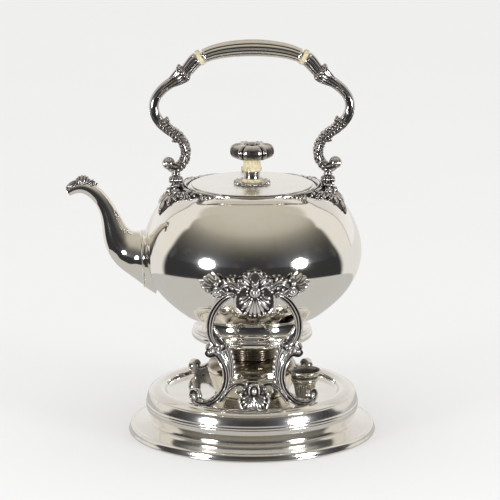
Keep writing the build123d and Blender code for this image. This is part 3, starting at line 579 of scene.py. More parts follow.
BODY_SILVER2 = silver("silver_spout", rough=(0.05, 0.13), hollow_tarnish_and_shade=0.8, hollow_tarnish_and_shade_from=0.35, hollow_tarnish_and_shade_to=0.8, waves=0.03)


# ---------------------------------------------------------------------------
# Turned pieces of the stand
# ---------------------------------------------------------------------------
g = Geo()
tray = profile(
    [
        [(0, 31), (67.8, 31)],
        [(67.8, 31), (69.0, 31.9), (70.9, 34.6), (73.5, 36.0), (77.0, 36.0), (80.6, 34.9), (82.9, 33.0)],
        [(82.9, 33.0), (82.85, 32.4), (83.8, 32.0)],
        [(83.8, 32.0), (84.5, 30.0), (85.15, 27.4), (85.6, 25.0)],
        [(85.6, 25.0), (85.35, 24.6), (85.7, 24.2)],
        [(85.7, 24.2), (86.0, 22.9), (86.0, 22.2)],
        [(86.0, 22.2), (85.6, 21.7), (85.8, 21.2)],
        [(85.8, 21.2), (85.5, 18.6), (84.7, 15.8), (83.6, 13.2), (83.1, 12.0)],
        [(83.1, 12.0), (82.9, 10.5), (82.9, 8.8)],
        [(82.9, 8.8), (81.2, 8.8)],
        [(81.2, 8.8), (81.7, 12.3), (82.6, 15.0), (83.7, 18.0), (84.0, 21.5), (83.8, 25.0), (83.0, 29.0), (81.4, 31.8), (79.4, 33.4), (76.7, 34.35), (74.2, 34.35), (72.1, 33.4),
         (70.4, 30.9), (68.2, 29.5)],
        [(68.2, 29.5), (0, 29.5)],
    ],
    ds=0.6,
    fillet=0.22,
)
lathe(g, tray, n=208)
make(g, "tray_top", TRAY_SILVER, "stand", ["base_tray"], sharp=60, cav=True, reach=3.0, rays=8)

g = Geo()
flange = profile(
    [
        [(81.2, 8.8), (82.75, 8.8)],
        [(82.75, 8.8), (88.6, 7.3), (95.6, 5.9)],
        [(95.6, 5.9), (97.2, 6.0), (98.3, 5.4), (98.9, 3.9), (99.5, 1.8), (99.92, 0.4), (99.7, 0.0)],
        [(99.7, 0), (93, 0)],
        [(93, 0), (92.2, 4.9)],
        [(92.2, 4.9), (81.2, 7.2)],
        [(81.2, 7.2), (81.2, 8.8)],
    ],
    ds=0.8,
    fillet=0.4,
    closed=True,
)
lathe(g, flange, n=224, closed=True)
make(g, "tray_flange", TRAY_SILVER, "stand", ["base_flange"], sharp=60, cav=True, reach=3.0, rays=8)

# ---------------------------------------------------------------------------
# Burner and snuffer
# ---------------------------------------------------------------------------
g = Geo()
reservoir = profile(
    [
        [(0, 31), (27.6, 31)],
        [(27.6, 31), (29.4, 31.5), (30.0, 32.6)],
        [(30.0, 32.6), (31.8, 36.5), (34.4, 43.5), (35.5, 48.0)],
        [(35.5, 48.0), (36.0, 49.2), (36.0, 50.8), (35.6, 51.8)],
        [(35.6, 51.8), (35.3, 54.0), (34.0, 56.4), (31, 58.9), (26, 60.2), (20.6, 60.2)],
        [(20.6, 60.2), (12.2, 60.2)],
        [(12.2, 60.2), (12.2, 58.9)],
        [(12.2, 58.9), (20.6, 58.9)],
        [(20.6, 58.9), (26.0, 59.0), (30.2, 57.6), (33.4, 54.6), (34.3, 51.2), (33.2, 44.0), (30.4, 37.2), (28.4, 33.4), (26.8, 32.5)],
        [(26.8, 32.5), (0, 32.5)],
    ],
    ds=0.7,
    fillet=0.4,
)
# painted reflection and shade: the shoulder's top made darker, as it faces the kettle's dark foot above
lathe(g, reservoir, n=160, shade_and_tarnish=lambda a, r, z: 0.5 * step(z, 50.6, 54.5) * (0.8 + 0.2 * np.sin(9 * a + 0.7 * r)))
make(g, "burner_bowl", CAP_SILVER2, "burner", ["burner_reservoir"], sharp=60, cav=True, reach=5.0, rays=8)

g = Geo()
ribs = []
for k in range(5):
    z0 = 60.2 + k * 1.84
    ribs += [(18.55, z0), (19.1, z0 + 0.3), (19.5, z0 + 0.92), (19.1, z0 + 1.54)]
ribs = ribs[:-4] + [(18.55, z0 - 0.05), (19.4, z0 + 0.55), (19.2, z0 + 1.5), (18.2, z0 + 1.8)]
collar = profile(
    [
        [(12.4, 60.2), ribs[0]],
        ribs[:5], ribs[4:9], ribs[8:13], ribs[12:17], ribs[16:],
        [ribs[-1], (17.4, 69.2), (17.0, 68.4)],
        [(17.0, 68.4), (17.0, 62.4)],
        [(17.0, 62.4), (12.4, 62.4)],
        [(12.4, 62.4), (12.4, 60.2)],
    ],
    ds=0.35,
    fillet=0.18,
    closed=True,
)
lathe(g, collar, n=144, closed=True)
make(g, "burner_ribs", SHADED_DULL_SILVER, "burner", ["burner_collar"], sharp=60, cav=True, reach=2.0, rays=10)

g = Geo()
tube = profile(poly([(10.6, 55.0), (12.0, 55.0), (12.0, 63.4), (10.0, 64.6), (10.0, 69.0), (8.9, 69.0), (8.9, 63.6), (10.6, 62.6), (10.6, 55.0)]), ds=0.6, fillet=0.25, closed=True)
lathe(g, tube, n=96, closed=True)
make(g, "wick_tube", BRASS, "burner", ["burner_wick_tube"], sharp=50)

g = Geo()
wick = profile([[(0, 45.0), (8.7, 45.0)], [(8.7, 45.0), (8.7, 67.6)], [(8.7, 67.6), (8.6, 69.4), (7.4, 70.3), (4, 70.5), (0, 70.3)]], ds=0.5, fillet=0.3)


def fray(a, r, z):
    k = step(z, 66.5, 69.5)
    return r * (1 - 0.03 * k * (1 + np.sin(23 * a)) * step(r, 2, 7)), z - k * 0.5 * (0.5 + 0.5 * np.sin(11 * a + 2.1 * r)) * step(r, 0.5, 3)


lathe(g, wick, n=144, mod=fray)
make(g, "wick", COTTON, "burner", ["burner_wick"], sharp=70)

g = Geo()
cap = profile(
    [
        [(0, 31), (6.3, 31)],
        [(6.3, 31), (6.95, 31.3), (7.2, 32.1), (7.0, 33.0)],
        [(7.0, 33.0), (7.7, 37.2), (8.7, 42.2), (9.5, 45.4)],
        [(9.5, 45.4), (9.6, 46.3)],
        [(9.6, 46.3), (10.6, 46.6), (11.0, 47.4), (10.6, 48.3)],
        [(10.6, 48.3), (10.6, 49.4), (11.1, 51.2), (12.0, 52.8)],
        [(12.0, 52.8), (12.9, 53.3), (13.3, 54.3), (13.1, 55.2), (12.7, 55.65)],
        [(12.7, 55.65), (12.3, 55.6), (12.0, 55.2)],
        [(12.0, 55.2), (11.1, 53.2), (9.8, 50.6), (9.4, 49.0)],
        [(9.4, 49.0), (8.4, 46.6)],
        [(8.4, 46.6), (5.9, 32.6)],
        [(5.9, 32.6), (0, 32.4)],
    ],
    ds=0.3,
    fillet=0.25,
)


def cap_flutes(a, r, z):
    k = step(z, 33.0, 34.4) * (1 - step(z, 44.2, 45.4)) * step(r, 6.7, 7.1)
    ridge = np.abs(np.sin(14 * a)) ** 0.7
    return r - 0.45 * k * (1 - ridge), z


# painted shade: darker down the flutes, with tarnish there too, and inside the cup's hollow, where shade falls
def cap_shade_and_tarnish(a, r, z):
    flute = step(z, 33.2, 34.6) * (1 - step(z, 44.0, 45.2)) * (1 - np.abs(np.sin(14 * a))) ** 0.8
    hollow = np.where(r < 0.97 * np.interp(z, [31, 33, 45.4, 47.4, 48.3, 52.8, 54.3, 55.6], [6.3, 7.0, 9.5, 11.0, 10.6, 12.0, 13.3, 12.7]), 0.5, 0.0) * step(z, 32.2, 33.0)
    return np.maximum(0.48 * flute, hollow * (1 - 0.6 * step(z, 52.0, 55.0)))


lathe(g, cap, n=28 * 10, centre=(41.5, -27.0), mod=cap_flutes, shade_and_tarnish=cap_shade_and_tarnish)
make(g, "snuffer", CAP_SILVER, "snuffer", ["snuffer_cap"], sharp=55, cav=True, reach=1.8, rays=10)

# ---------------------------------------------------------------------------
# Kettle: body, foot, lid and its knob
# ---------------------------------------------------------------------------
OUTER = [(55.6, 98.3), (58.4, 100.3), (64.3, 105.2), (70.2, 110.6), (75.8, 116.8), (80.7, 123.7), (84.5, 131.3), (87, 139.5), (87.9, 148), (87.2, 156.8),
         (84.6, 166.4), (80.4, 176), (75.6, 183.9), (69.6, 190.7), (62, 196.6), (54.6, 199.9), (50.3, 201)]
skin = fair(cubic(OUTER, 240), 2e4)
skin[:, 0] = np.minimum(skin[:, 0], 87.9)
d_ = np.gradient(skin, axis=0)
d_ /= np.linalg.norm(d_, axis=1)[:, None]
inner = skin - 1.4 * np.stack([d_[:, 1], -d_[:, 0]], axis=-1)
body_line = np.vstack(
    [
        np.stack([np.linspace(0, 53.4, 24), np.full(24, 97.5)], axis=-1),
        [(54.2, 97.55), (54.9, 97.8)],
        skin,
        [(50.0, 200.95), (46.0, 200.9), (45.6, 200.8), (45.6, 199.6), (45.8, 199.45), (50.0, 199.6)],
        inner[::-3],
        [(53.4, 98.95), (52.9, 98.9)],
        np.stack([np.linspace(52.0, 0, 12), np.full(12, 98.9)], axis=-1),
    ]
)
g = Geo()
lathe(g, body_line, n=224)
kettle = make(g, "kettle_shell", BODY_SILVER, "kettle", ["kettle_body"], sharp=50)


def cut(ob, other):
    """Takes one closed mesh out of another, in place."""
    m = ob.modifiers.new("cut", "BOOLEAN")
    m.operation, m.solver, m.object = "DIFFERENCE", "EXACT", other
    dg = bpy.context.evaluated_depsgraph_get()
    me = bpy.data.meshes.new_from_object(ob.evaluated_get(dg), depsgraph=dg)
    ob.modifiers.remove(m)
    old = ob.data
    ob.data = me
    me.name = old.name + "_cut"
    bpy.data.objects.remove(other)


def loose(geo, name):
    V, F = geo.arrays()
    me = bpy.data.meshes.new(name)
    me.from_pydata((V * MM).tolist(), [], [p for f in F for p in f.tolist()])
    ob = bpy.data.objects.new(name, me)
    bpy.context.scene.collection.objects.link(ob)
    return ob


g = Geo()
foot = profile(
    [
        [(42.2, 97.5), (43.0, 97.5)],
        [(43.0, 97.5), (43.2, 94.0), (43.6, 91.0), (44.4, 88.5), (46.0, 86.2), (47.6, 85.2)],
        [(47.6, 85.2), (47.8, 84.4), (47.6, 83.9)],
        [(47.6, 83.9), (46.9, 83.5)],
        [(46.9, 83.5), (47.7, 83.1), (48.5, 82.0), (48.6, 80.4), (48.4, 79.0), (47.7, 78.1)],
        [(47.7, 78.1), (46.8, 77.5)],
        [(46.8, 77.5), (44.6, 77.5)],
        [(44.6, 77.5), (44.2, 79.4), (43.4, 81.6), (42.2, 83.4)],
        [(42.2, 83.4), (42.2, 97.5)],
    ],
    ds=0.6,
    fillet=0.4,
    closed=True,
)
lathe(g, foot, n=192, closed=True)
make(g, "kettle_foot_ring", SPUN_SILVER, "kettle", ["kettle_foot"], sharp=55, cav=True, reach=3.0, rays=8)

g = Geo()
bezel = profile(
    [
        [(45.6, 200.9), (50.3, 201.0)],
        [(50.3, 201.0), (50.4, 201.6)],
        [(50.4, 201.6), (50.1, 201.78), (49.4, 201.8)],
        [(49.4, 201.8), (48.45, 201.8)],
        [(48.45, 201.8), (48.45, 201.3)],
        [(48.45, 201.3), (45.6, 201.3)],
        [(45.6, 201.3), (45.6, 200.9)],
    ],
    ds=0.3,
    fillet=0.2,
    closed=True,
)
# painted shade in the seam under the lid's rim, much darker towards the front as a painted reflection of the dark room
lathe(g, bezel, n=192, closed=True, shade_and_tarnish=lambda a, r, z: (0.25 + 0.65 * step(np.cos(a), 0.80, 0.90)) * ((r < 49.3) & (z > 201.2)))
make(g, "bezel", PLAIN_SILVER, "kettle", ["lid_bezel"], sharp=55, cav=True, reach=1.5, rays=8)

# lid: low dome with a rolled rim
g = Geo()
lid = profile(
    [
        [(1.6, 202.9), (16, 203.0), (30, 203.0), (40, 202.95), (47.6, 202.86)],
        [(47.6, 202.86), (48.1, 202.7)],
        [(48.1, 202.7), (48.18, 201.4)],
        [(48.18, 201.4), (45.3, 201.35)],
        [(45.3, 201.35), (45.2, 197.4)],
        [(45.2, 197.4), (44.2, 197.4)],
        [(44.2, 197.4), (44.2, 201.3)],
        [(44.2, 201.3), (1.6, 201.7)],
        [(1.6, 201.7), (1.6, 202.9)],
    ],
    ds=0.8,
    fillet=0.25,
    closed=True,
)
# painted shade along the lid's rim over the seam, much darker towards the front as a painted reflection of the dark
# room
lathe(g, lid, n=192, closed=True, shade_and_tarnish=lambda a, r, z: (0.45 + 0.5 * step(np.cos(a), 0.80, 0.90)) * ((r > 47.95) & (z < 202.62) & (z > 201.0)))
make(g, "lid_plate", LID_SILVER, "lid", ["lid"], sharp=55, cav=True, reach=2.0, rays=8)

# rosette under the insulator: sixteen petals with beaded tips round a plain seat
g = Geo()
PETALS = 16
rosette = np.vstack(
    [
        np.stack([np.linspace(1.5, 12.0, 12), np.full(12, 202.95)], axis=-1),
        cubic([(12.4, 202.95), (14.0, 203.2), (14.9, 203.9), (14.7, 204.7), (13.6, 205.1), (12.0, 204.8), (10.2, 204.1), (8.4, 203.65)], 40),
        np.stack([np.linspace(8.3, 1.5, 10), np.full(10, 203.6)], axis=-1),
    ]
)


def petals(a, r, z):
    k = step(r, 8.6, 12.4)
    u = np.abs(np.sin(a * PETALS / 2))
    lobe = 1 - np.sqrt(np.clip(1 - u**2, 0, 1)) ** 1.4
    r2 = r * (1 - 0.13 * k * (1 - u**0.8) * step(z, 203.0, 203.6))
    z2 = z + k * step(z, 203.1, 204.2) * (0.25 * u**1.5 - 0.6 * (1 - u) ** 1.3)
    return r2, z2 + 0.0 * lobe


lathe(g, rosette, n=PETALS * 18, closed=True, mod=petals)
for k in range(PETALS):
    a = 2 * PI * (k + 0.5) / PETALS
    ball(g, (13.9 * math.sin(a), -13.9 * math.cos(a), 204.3), 1.15, n=10)
    ball(g, (10.6 * math.sin(a + PI / PETALS), -10.6 * math.cos(a + PI / PETALS), 204.0), 0.6, n=8)
make(g, "rosette", ROSE_SILVER, "lid", ["lid_rosette"], sharp=60, cav=True, reach=1.6)

g = Geo()
low_ins = profile(
    [
        [(1.5, 203.62), (7.9, 203.65)],
        [(7.9, 203.65), (8.4, 204.4), (8.3, 205.2)],
        [(8.3, 205.2), (7.7, 205.9), (7.4, 206.5), (7.3, 207.1)],
        [(7.3, 207.1), (1.5, 207.1)],
        [(1.5, 207.1), (1.5, 203.62)],
    ],
    ds=0.3,
    fillet=0.2,
    closed=True,
)


def ins_flutes(a, r, z):
    k = step(r, 5.5, 7.0)
    return r * (1 - 0.055 * k * (1 - np.abs(np.sin(5 * a)) ** 0.55)), z


lathe(g, low_ins, n=180, closed=True, mod=ins_flutes)
make(g, "insulator_low", IVORY, "lid", ["lid_insulator_lower"], sharp=55, cav=True, reach=1.4, rays=10)

g = Geo()
ring = profile(
    [
        [(1.6, 207.1), (6.6, 207.1)],
        [(6.6, 207.1), (6.85, 207.4), (6.6, 207.8)],
        [(6.6, 207.8), (6.5, 208.6), (6.45, 210.2), (6.5, 212.4)],
        [(6.5, 212.4), (6.8, 212.8), (6.7, 213.4)],
        [(6.7, 213.4), (1.6, 213.4)],
        [(1.6, 213.4), (1.6, 207.1)],
    ],
    ds=0.3,
    fillet=0.15,
    closed=True,
)
lathe(g, ring, n=144, closed=True)
make(g, "finial_ring", KNOB_PLAIN, "lid", ["lid_finial_ring"], sharp=55, cav=True, reach=1.4, rays=8)

g = Geo()
up_ins = profile(
    [
        [(1.5, 213.4), (7.6, 213.4)],
        [(7.6, 213.4), (8.1, 214.0), (8.15, 215.0), (7.9, 216.0)],
        [(7.9, 216.0), (7.3, 216.8), (7.0, 217.8), (6.9, 219.6), (7.1, 221.6), (7.6, 223.2)],
        [(7.6, 223.2), (7.3, 223.45)],
        [(7.3, 223.45), (1.5, 223.45)],
        [(1.5, 223.45), (1.5, 213.4)],
    ],
    ds=0.3,
    fillet=0.2,
    closed=True,
)
lathe(g, up_ins, n=180, closed=True, mod=ins_flutes)
make(g, "insulator_high", IVORY, "lid", ["lid_insulator_upper"], sharp=55, cav=True, reach=1.4, rays=10)

# knob: a flattened melon of bordered lobes with a small flower on top
g = Geo()
LOBES = 6
knob = np.vstack(
    [
        np.stack([np.linspace(0, 8.6, 10), np.full(10, 223.45)], axis=-1),
        cubic([(9.0, 223.45), (12.4, 223.5), (15.3, 224.8), (16.9, 227.2), (17.2, 229.6), (16.6, 232.0), (14.7, 233.9), (12.0, 234.9), (9.0, 235.0), (6.0, 234.6),
               (3.0, 234.4), (0, 234.4)], 100),
    ]
)


def melon(a, r, z):
    u = (a * LOBES / (2 * PI) + 0.5) % 1.0
    e = np.minimum(u, 1 - u) * 2  # 0 in the groove between two lobes, 1 along the middle of a lobe
    k = step(r, 6.0, 12.0)
    groove = bump(e, 0.0, 0.10)
    border = bump(e, 0.26, 0.09)
    field = step(e, 0.32, 0.46)
    swell = 1 - (1 - e) ** 2 * 0.0
    dz = (z - 229.0) / 6.0
    side = np.exp(-((dz / 0.9) ** 4))
    dr = -2.1 * groove * k + 0.55 * border * k - 0.75 * field * k * side + 0.0 * swell
    top = step(z, 231.5, 234.0)
    return r + dr * (0.55 + 0.45 * side), z - top * k * (1.1 * groove + 0.35 * field - 0.3 * border)


# painted shade and tarnish: darker down the grooves between the lobes, on the sunken fields and in the hollow round the
# top flower
def melon_shade_and_tarnish(a, r, z):
    u = (a * LOBES / (2 * PI) + 0.5) % 1.0
    e = np.minimum(u, 1 - u) * 2
    side = np.exp(-(((z - 229.4) / 4.6) ** 4))
    return np.maximum(0.34 * step(e, 0.34, 0.48) * side, 0.45 * (1 - step(e, 0.05, 0.14)) * step(r, 7.0, 11.0)) + 0.34 * (1 - step(r, 6.0, 7.5)) * step(z, 231, 233)


lathe(g, knob, n=LOBES * 54, mod=melon, shade_and_tarnish=melon_shade_and_tarnish)
for k in range(8):
    a = 2 * PI * k / 8
    ball(g, (2.9 * math.sin(a), -2.9 * math.cos(a), 234.9), 1.5, squash=(1, 1, 0.75), n=10)
    ball(g, (5.2 * math.sin(a + PI / 8), -5.2 * math.cos(a + PI / 8), 234.6), 1.15, squash=(1, 1, 0.7), n=8)
ball(g, (0, 0, 235.5), 1.7, squash=(1, 1, 0.7), n=12)
make(g, "knob", KNOB_SILVER, "lid", ["lid_knob"], sharp=60, cav=True, reach=2.0)


# ---------------------------------------------------------------------------
# Cast ornament: sweeps, petals and beads laid on a curved ground. place(s, q, n)
# maps ground coordinates and a height above it to space
# ---------------------------------------------------------------------------
def loop(front, back=-2.2, side=0.5):
    """A closed section from its front line of (x, n), with rounded flanks down to a flat back."""
    front = np.asarray(front, float)
    xr, nr = front[-1]
    xl, nl = front[0]
    return np.vstack([front, [(xr, nr - 0.35 * (nr - back)), (xr * 0.98, back + side), (xr * 0.86, back)], [(0.0, back)],
                      [(xl * 0.86, back), (xl * 0.98, back + side), (xl, nl - 0.35 * (nl - back))]])


def scroll_section(top=2.1, floor=-0.35, back=-2.2):
    pts = [(1.0, 0.55), (0.985, 1.2), (0.93, 1.75), (0.83, top), (0.72, top), (0.63, 1.8), (0.55, 1.25), (0.52, 0.4), (0.46, floor + 0.1), (0.38, floor), (0.30, floor + 0.25), (0.2, floor + 1.0), (0.1, floor + 1.35)]
    right = pts[::-1]
    left = [(-x, n) for x, n in pts]
    return loop(left + [(0.0, floor + 1.45)] + right, back)


def reed_section(k=3, low=0.5, high=1.9, back=-2.2, m=27):
    x = np.linspace(-1, 1, m)
    ridge = np.abs(np.sin(PI * k * (x + 1) / 2)) ** 0.65
    crown = 1 - 0.3 * x**2
    return loop(np.stack([x, low + (high - low) * ridge * crown], axis=-1), back)


def dome_section(high=1.9, back=-2.2, m=17, vein=0.0):
    x = np.sin(np.linspace(-PI / 2, PI / 2, m))
    n = high * np.sqrt(np.clip(1 - x**2, 0, 1)) ** 0.9 - vein * bump(x, 0.0, 0.16)
    return loop(np.stack([x, n], axis=-1), back)


SCROLL = scroll_section()
# painted shade and tarnish down the channel of the scroll section, darker than the occlusion alone makes it
SCROLL_CHANNEL_SHADE = 0.36 * np.exp(-(((np.abs(SCROLL[:, 0]) - 0.39) / 0.11) ** 4)) * (SCROLL[:, 1] > -1.2)
REEDS3 = reed_section(3)
REEDS4 = reed_section(4)
REEDS2 = reed_section(2)
DOME = dome_section()


def sweep(geo, place, C, W, section, rise=None, lift=0.0, gap=0.45):
    """Sweeps a section along the ground curve C, W half its width. rise scales its height, lift raises it."""
    C = np.asarray(C, float)
    m = max(8, int(arc_length(C) / gap) + 2)
    k = len(C)
    if len(C) > 2:
        fine = cubic(C, m)
    else:
        fine = C[0] + (C[1] - C[0]) * np.linspace(0, 1, m)[:, None]
    W = np.asarray(W, float)
    if W.ndim == 0:
        W = np.full(m, float(W))
    elif len(W) != m:
        W = np.interp(np.linspace(0, 1, m), np.linspace(0, 1, len(W)), W)
    T = np.gradient(fine, axis=0)
    T /= np.linalg.norm(T, axis=1)[:, None] + 1e-12
    N = np.stack([-T[:, 1], T[:, 0]], axis=-1)
    X = section[None, :, 0] * W[:, None]
    H = np.broadcast_to(section[None, :, 1], X.shape).copy()
    if rise is not None:
        r = np.asarray(rise, float)
        r = np.full(m, float(r)) if r.ndim == 0 else np.interp(np.linspace(0, 1, m), np.linspace(0, 1, len(r)), r)
        H = np.where(H > 0, H * r[:, None], H)
    H = H + np.where(H > -0.5, lift, 0.0)
    shade_and_tarnish = 0.0
    if section is SCROLL:
        u = np.linspace(0, 1, m)[:, None]
        shade_and_tarnish = SCROLL_CHANNEL_SHADE[None, :] * step(u, 0.0, 0.04) * step(1 - u, 0.0, 0.04) * (0.86 + 0.14 * np.sin(31 * u + 2.0))
    geo.grid(place(fine[:, 0:1] + N[:, 0:1] * X, fine[:, 1:2] + N[:, 1:2] * X, H), wrap_v=True, caps=True, shade_and_tarnish=shade_and_tarnish)


def petal(geo, place, a, b, w, high=1.6, bend=0.0, fat=0.55, back=-1.6, lift=0.0, vein=0.0, m=14, nv=11):
    """A teardrop from a to b, fattest at the share fat of its length."""
    a, b = np.asarray(a, float), np.asarray(b, float)
    d = b - a
    side = np.array([-d[1], d[0]])
    u = np.linspace(0, 1, m)
    C = a + d * u[:, None] + side * (bend * np.sin(PI * u))[:, None]
    p = math.log(0.5) / math.log(fat)
    W = w * np.sin(PI * np.clip(u, 1e-3, 1 - 1e-3) ** p) ** 0.6
    sec = dome_section(1.0, back, nv, vein)
    T = np.gradient(C, axis=0)
    T /= np.linalg.norm(T, axis=1)[:, None] + 1e-12
    N = np.stack([-T[:, 1], T[:, 0]], axis=-1)
    X = sec[None, :, 0] * W[:, None]
    R = (high * np.sin(PI * np.clip(u, 1e-3, 1 - 1e-3) ** p) ** 0.5)[:, None]
    H = np.where(sec[None, :, 1] > 0, sec[None, :, 1] * R + lift, np.broadcast_to(sec[None, :, 1], X.shape))
    geo.grid(place(C[:, 0:1] + N[:, 0:1] * X, C[:, 1:2] + N[:, 1:2] * X, H), wrap_v=True, caps=True)


def bead(geo, place, s, q, r, n=0.4, dent=None, k=12, squash=(1, 1, 1)):
    c = place(np.array([[s]]), np.array([[q]]), np.array([[n]]))[0, 0]
    ball(geo, c, r, squash, k, dent)


def eye(geo, place, s, q, r, n=0.0):
    """The round end of a volute: a ring with a boss in it."""
    a = np.linspace(0, 2 * PI, 25)
    sec = dome_section(1.5, -1.8, 9)
    C = np.stack([s + 0.72 * r * np.cos(a), q + 0.72 * r * np.sin(a)], axis=-1)
    X = sec[None, :, 0] * 0.3 * r
    T = np.gradient(C, axis=0)
    T[0] = T[-1] = (0.0, 1.0)
    T /= np.linalg.norm(T, axis=1)[:, None]
    N = np.stack([-T[:, 1], T[:, 0]], axis=-1)
    H = np.broadcast_to(sec[None, :, 1], (len(C), len(sec))) + n
    P = place(C[:, 0:1] + N[:, 0:1] * X, C[:, 1:2] + N[:, 1:2] * X, H)
    geo.grid(P[:-1], wrap_u=True, wrap_v=True)
    bead(geo, place, s, q, 0.5 * r, n + 0.7)


# ---------------------------------------------------------------------------
# Pierced brackets: they stand on the tray wall's circle and lean out with it
# ---------------------------------------------------------------------------
WALL_Z = [24, 31, 45, 62, 75, 87, 98, 106, 115, 123.5, 134, 145, 160]
WALL_R = [65, 65.05, 65.2, 65.9, 68, 71.6, 76.4, 80, 83.8, 86.7, 89.9, 91.8, 92.8]
wall = cubic(list(zip(WALL_Z, WALL_R)), 400)


def on_wall(s, z, n):
    s, z, n = np.broadcast_arrays(np.asarray(s, float), np.asarray(z, float), np.asarray(n, float))
    R = np.interp(z, wall[:, 0], wall[:, 1])
    lean = np.gradient(wall[:, 1], wall[:, 0])
    k = np.interp(z, wall[:, 0], lean)
    c = 1 / np.sqrt(1 + k**2)
    a = s / R
    r = R + n * c
    return np.stack([r * np.sin(a), -r * np.cos(a), z - n * k * c * 0.6], axis=-1)


def mirrored(place):
    return lambda s, z, n: place(-s, z, n)


def plate(geo, place, low, high, s0, s1, H, back=-1.9, ds=0.5, m=40):
    """A ground plate between the lines low(s) and high(s), its face the height field H(s, z)."""
    S = np.linspace(s0, s1, int((s1 - s0) / ds) + 2)
    lo = np.interp(S, *zip(*low))
    hi = np.interp(S, *zip(*high))
    v = np.linspace(0, 1, m)[None, :]
    A = np.repeat(S[:, None], m, axis=1)
    B = lo[:, None] + (hi - lo)[:, None] * v
    # the recessed ground painted darker all over: painted shade and tarnish
    geo.relief(A, B, H(A, B), back, place, shade_and_tarnish=0.42)


def leaf_strip(geo, place, C, w, k=5, section=None, high=1.9, tips=1, lean=0.9, back=-1.8):
    """An acanthus strip: a reeded spine with curled side lobes on one or both sides."""
    C = cubic(np.asarray(C, float), 60)
    u = np.linspace(0, 1, 60)
    sweep(geo, place, C[::3], w * 0.55 * np.sin(PI * np.clip(0.12 + 0.8 * u[::3], 0, 1)) ** 0.5, section if section is not None else REEDS2, rise=1.0, lift=0.1)
    T = np.gradient(C, axis=0)
    T /= np.linalg.norm(T, axis=1)[:, None]
    N = np.stack([-T[:, 1], T[:, 0]], axis=-1)
    for j in range(k):
        i = int((0.06 + 0.84 * j / k) * 59)
        size = w * (0.75 + 0.45 * math.sin(PI * (j + 0.5) / k))
        for side in ((1, -1) if tips == 2 else (tips,)):
            a = C[i] + N[i] * side * 0.15 * w
            b = C[i] + N[i] * side * size + T[i] * lean * size
            petal(geo, place, a, b, 0.36 * size, high * 0.85, bend=-0.16 * side, fat=0.62, back=back, vein=0.25)


def half_crest(geo, place):
    """What repeats left and right of the crest's middle; s is positive outwards."""
    # horn, end bud and the leaves between them
    petal(geo, place, (29.0, 142.6), (37.0, 149.2), 2.1, 2.2, bend=-0.14, fat=0.42, lift=0.3, vein=0.3)
    petal(geo, place, (26.5, 143.2), (31.6, 148.2), 1.7, 1.9, bend=-0.1, fat=0.45, lift=0.1, vein=0.25)
    petal(geo, place, (33.0, 140.2), (41.4, 146.0), 2.0, 1.9, bend=-0.12, fat=0.5, lift=0.1, vein=0.3)
    petal(geo, place, (33.6, 138.4), (44.6, 142.6), 2.2, 2.0, bend=-0.10, fat=0.6, lift=0.3, vein=0.3)
    petal(geo, place, (34.0, 136.2), (43.6, 138.6), 1.9, 1.9, bend=-0.06, fat=0.6, lift=0.2, vein=0.3)
    petal(geo, place, (33.8, 134.2), (40.6, 135.0), 1.6, 1.7, bend=0.0, fat=0.55, lift=0.1, vein=0.25)
    bead(geo, place, 41.6, 140.6, 1.3, 1.4)
    bead(geo, place, 43.4, 143.2, 0.9, 1.0)
    # upper ball and lower ball in its ring
    bead(geo, place, 30.2, 141.6, 2.1, 1.5)
    eye(geo, place, 29.6, 134.8, 4.2, 0.4)
    bead(geo, place, 29.6, 134.8, 2.5, 1.7)
    for k in range(7):
        a = PI * (1.02 + 0.15 * k)
        c = (29.6 + 4.3 * math.cos(a), 134.8 + 4.3 * math.sin(a))
        e = (29.6 + 6.5 * math.cos(a + 0.25), 134.8 + 6.5 * math.sin(a + 0.25))
        petal(geo, place, c, e, 0.95, 1.3, fat=0.5)
    # acanthus running in to the shell, two rows of small curls
    sweep(geo, place, [(26.6, 138.6), (22.4, 141.8), (17.6, 142.2), (13.8, 139.8), (11.2, 136.8)], [1.2, 1.9, 2.1, 1.8, 1.1], REEDS2, rise=[0.7, 1.05, 1.05, 0.8], lift=0.3)
    for j, (a, b, w) in enumerate([
        ((24.6, 140.6), (25.4, 145.4), 1.25), ((21.6, 142.0), (21.0, 146.2), 1.3), ((18.4, 142.6), (16.6, 146.2), 1.25), ((15.4, 141.4), (12.6, 144.8), 1.2),
        ((24.4, 138.2), (21.4, 135.2), 1.2), ((20.8, 139.6), (17.2, 136.6), 1.3), ((17.0, 139.2), (13.6, 135.6), 1.2),
    ]):
        petal(geo, place, a, b, w, 1.9, bend=(0.2 if j < 4 else -0.2), fat=0.58, lift=0.2, vein=0.3)
    bead(geo, place, 12.6, 145.0, 1.15, 1.1)
    bead(geo, place, 16.9, 146.3, 0.95, 0.9)
    bead(geo, place, 21.0, 146.2, 0.95, 0.9)
    bead(geo, place, 13.2, 135.6, 1.2, 1.2)
    bead(geo, place, 10.6, 139.4, 1.5, 1.4)
    # stem down to the scroll
    sweep(geo, place, [(26.0, 135.6), (22.8, 133.6), (18.6, 133.9), (14.6, 132.4)], [1.5, 1.7, 1.6, 1.2], REEDS2, rise=0.95, lift=0.2)
    petal(geo, place, (20.8, 132.0), (16.6, 130.2), 1.2, 1.5, fat=0.5)
    # edge scroll of the drop shell
    sweep(geo, place, [(14.6, 133.0), (15.6, 128.4), (15.1, 123.6), (12.6, 119.4), (9.2, 116.6), (6.6, 117.2)], [1.2, 1.35, 1.35, 1.3, 1.2, 0.9], dome_section(2.1, -1.8, 11), lift=0.2)
    bead(geo, place, 7.4, 117.8, 1.35, 1.2)


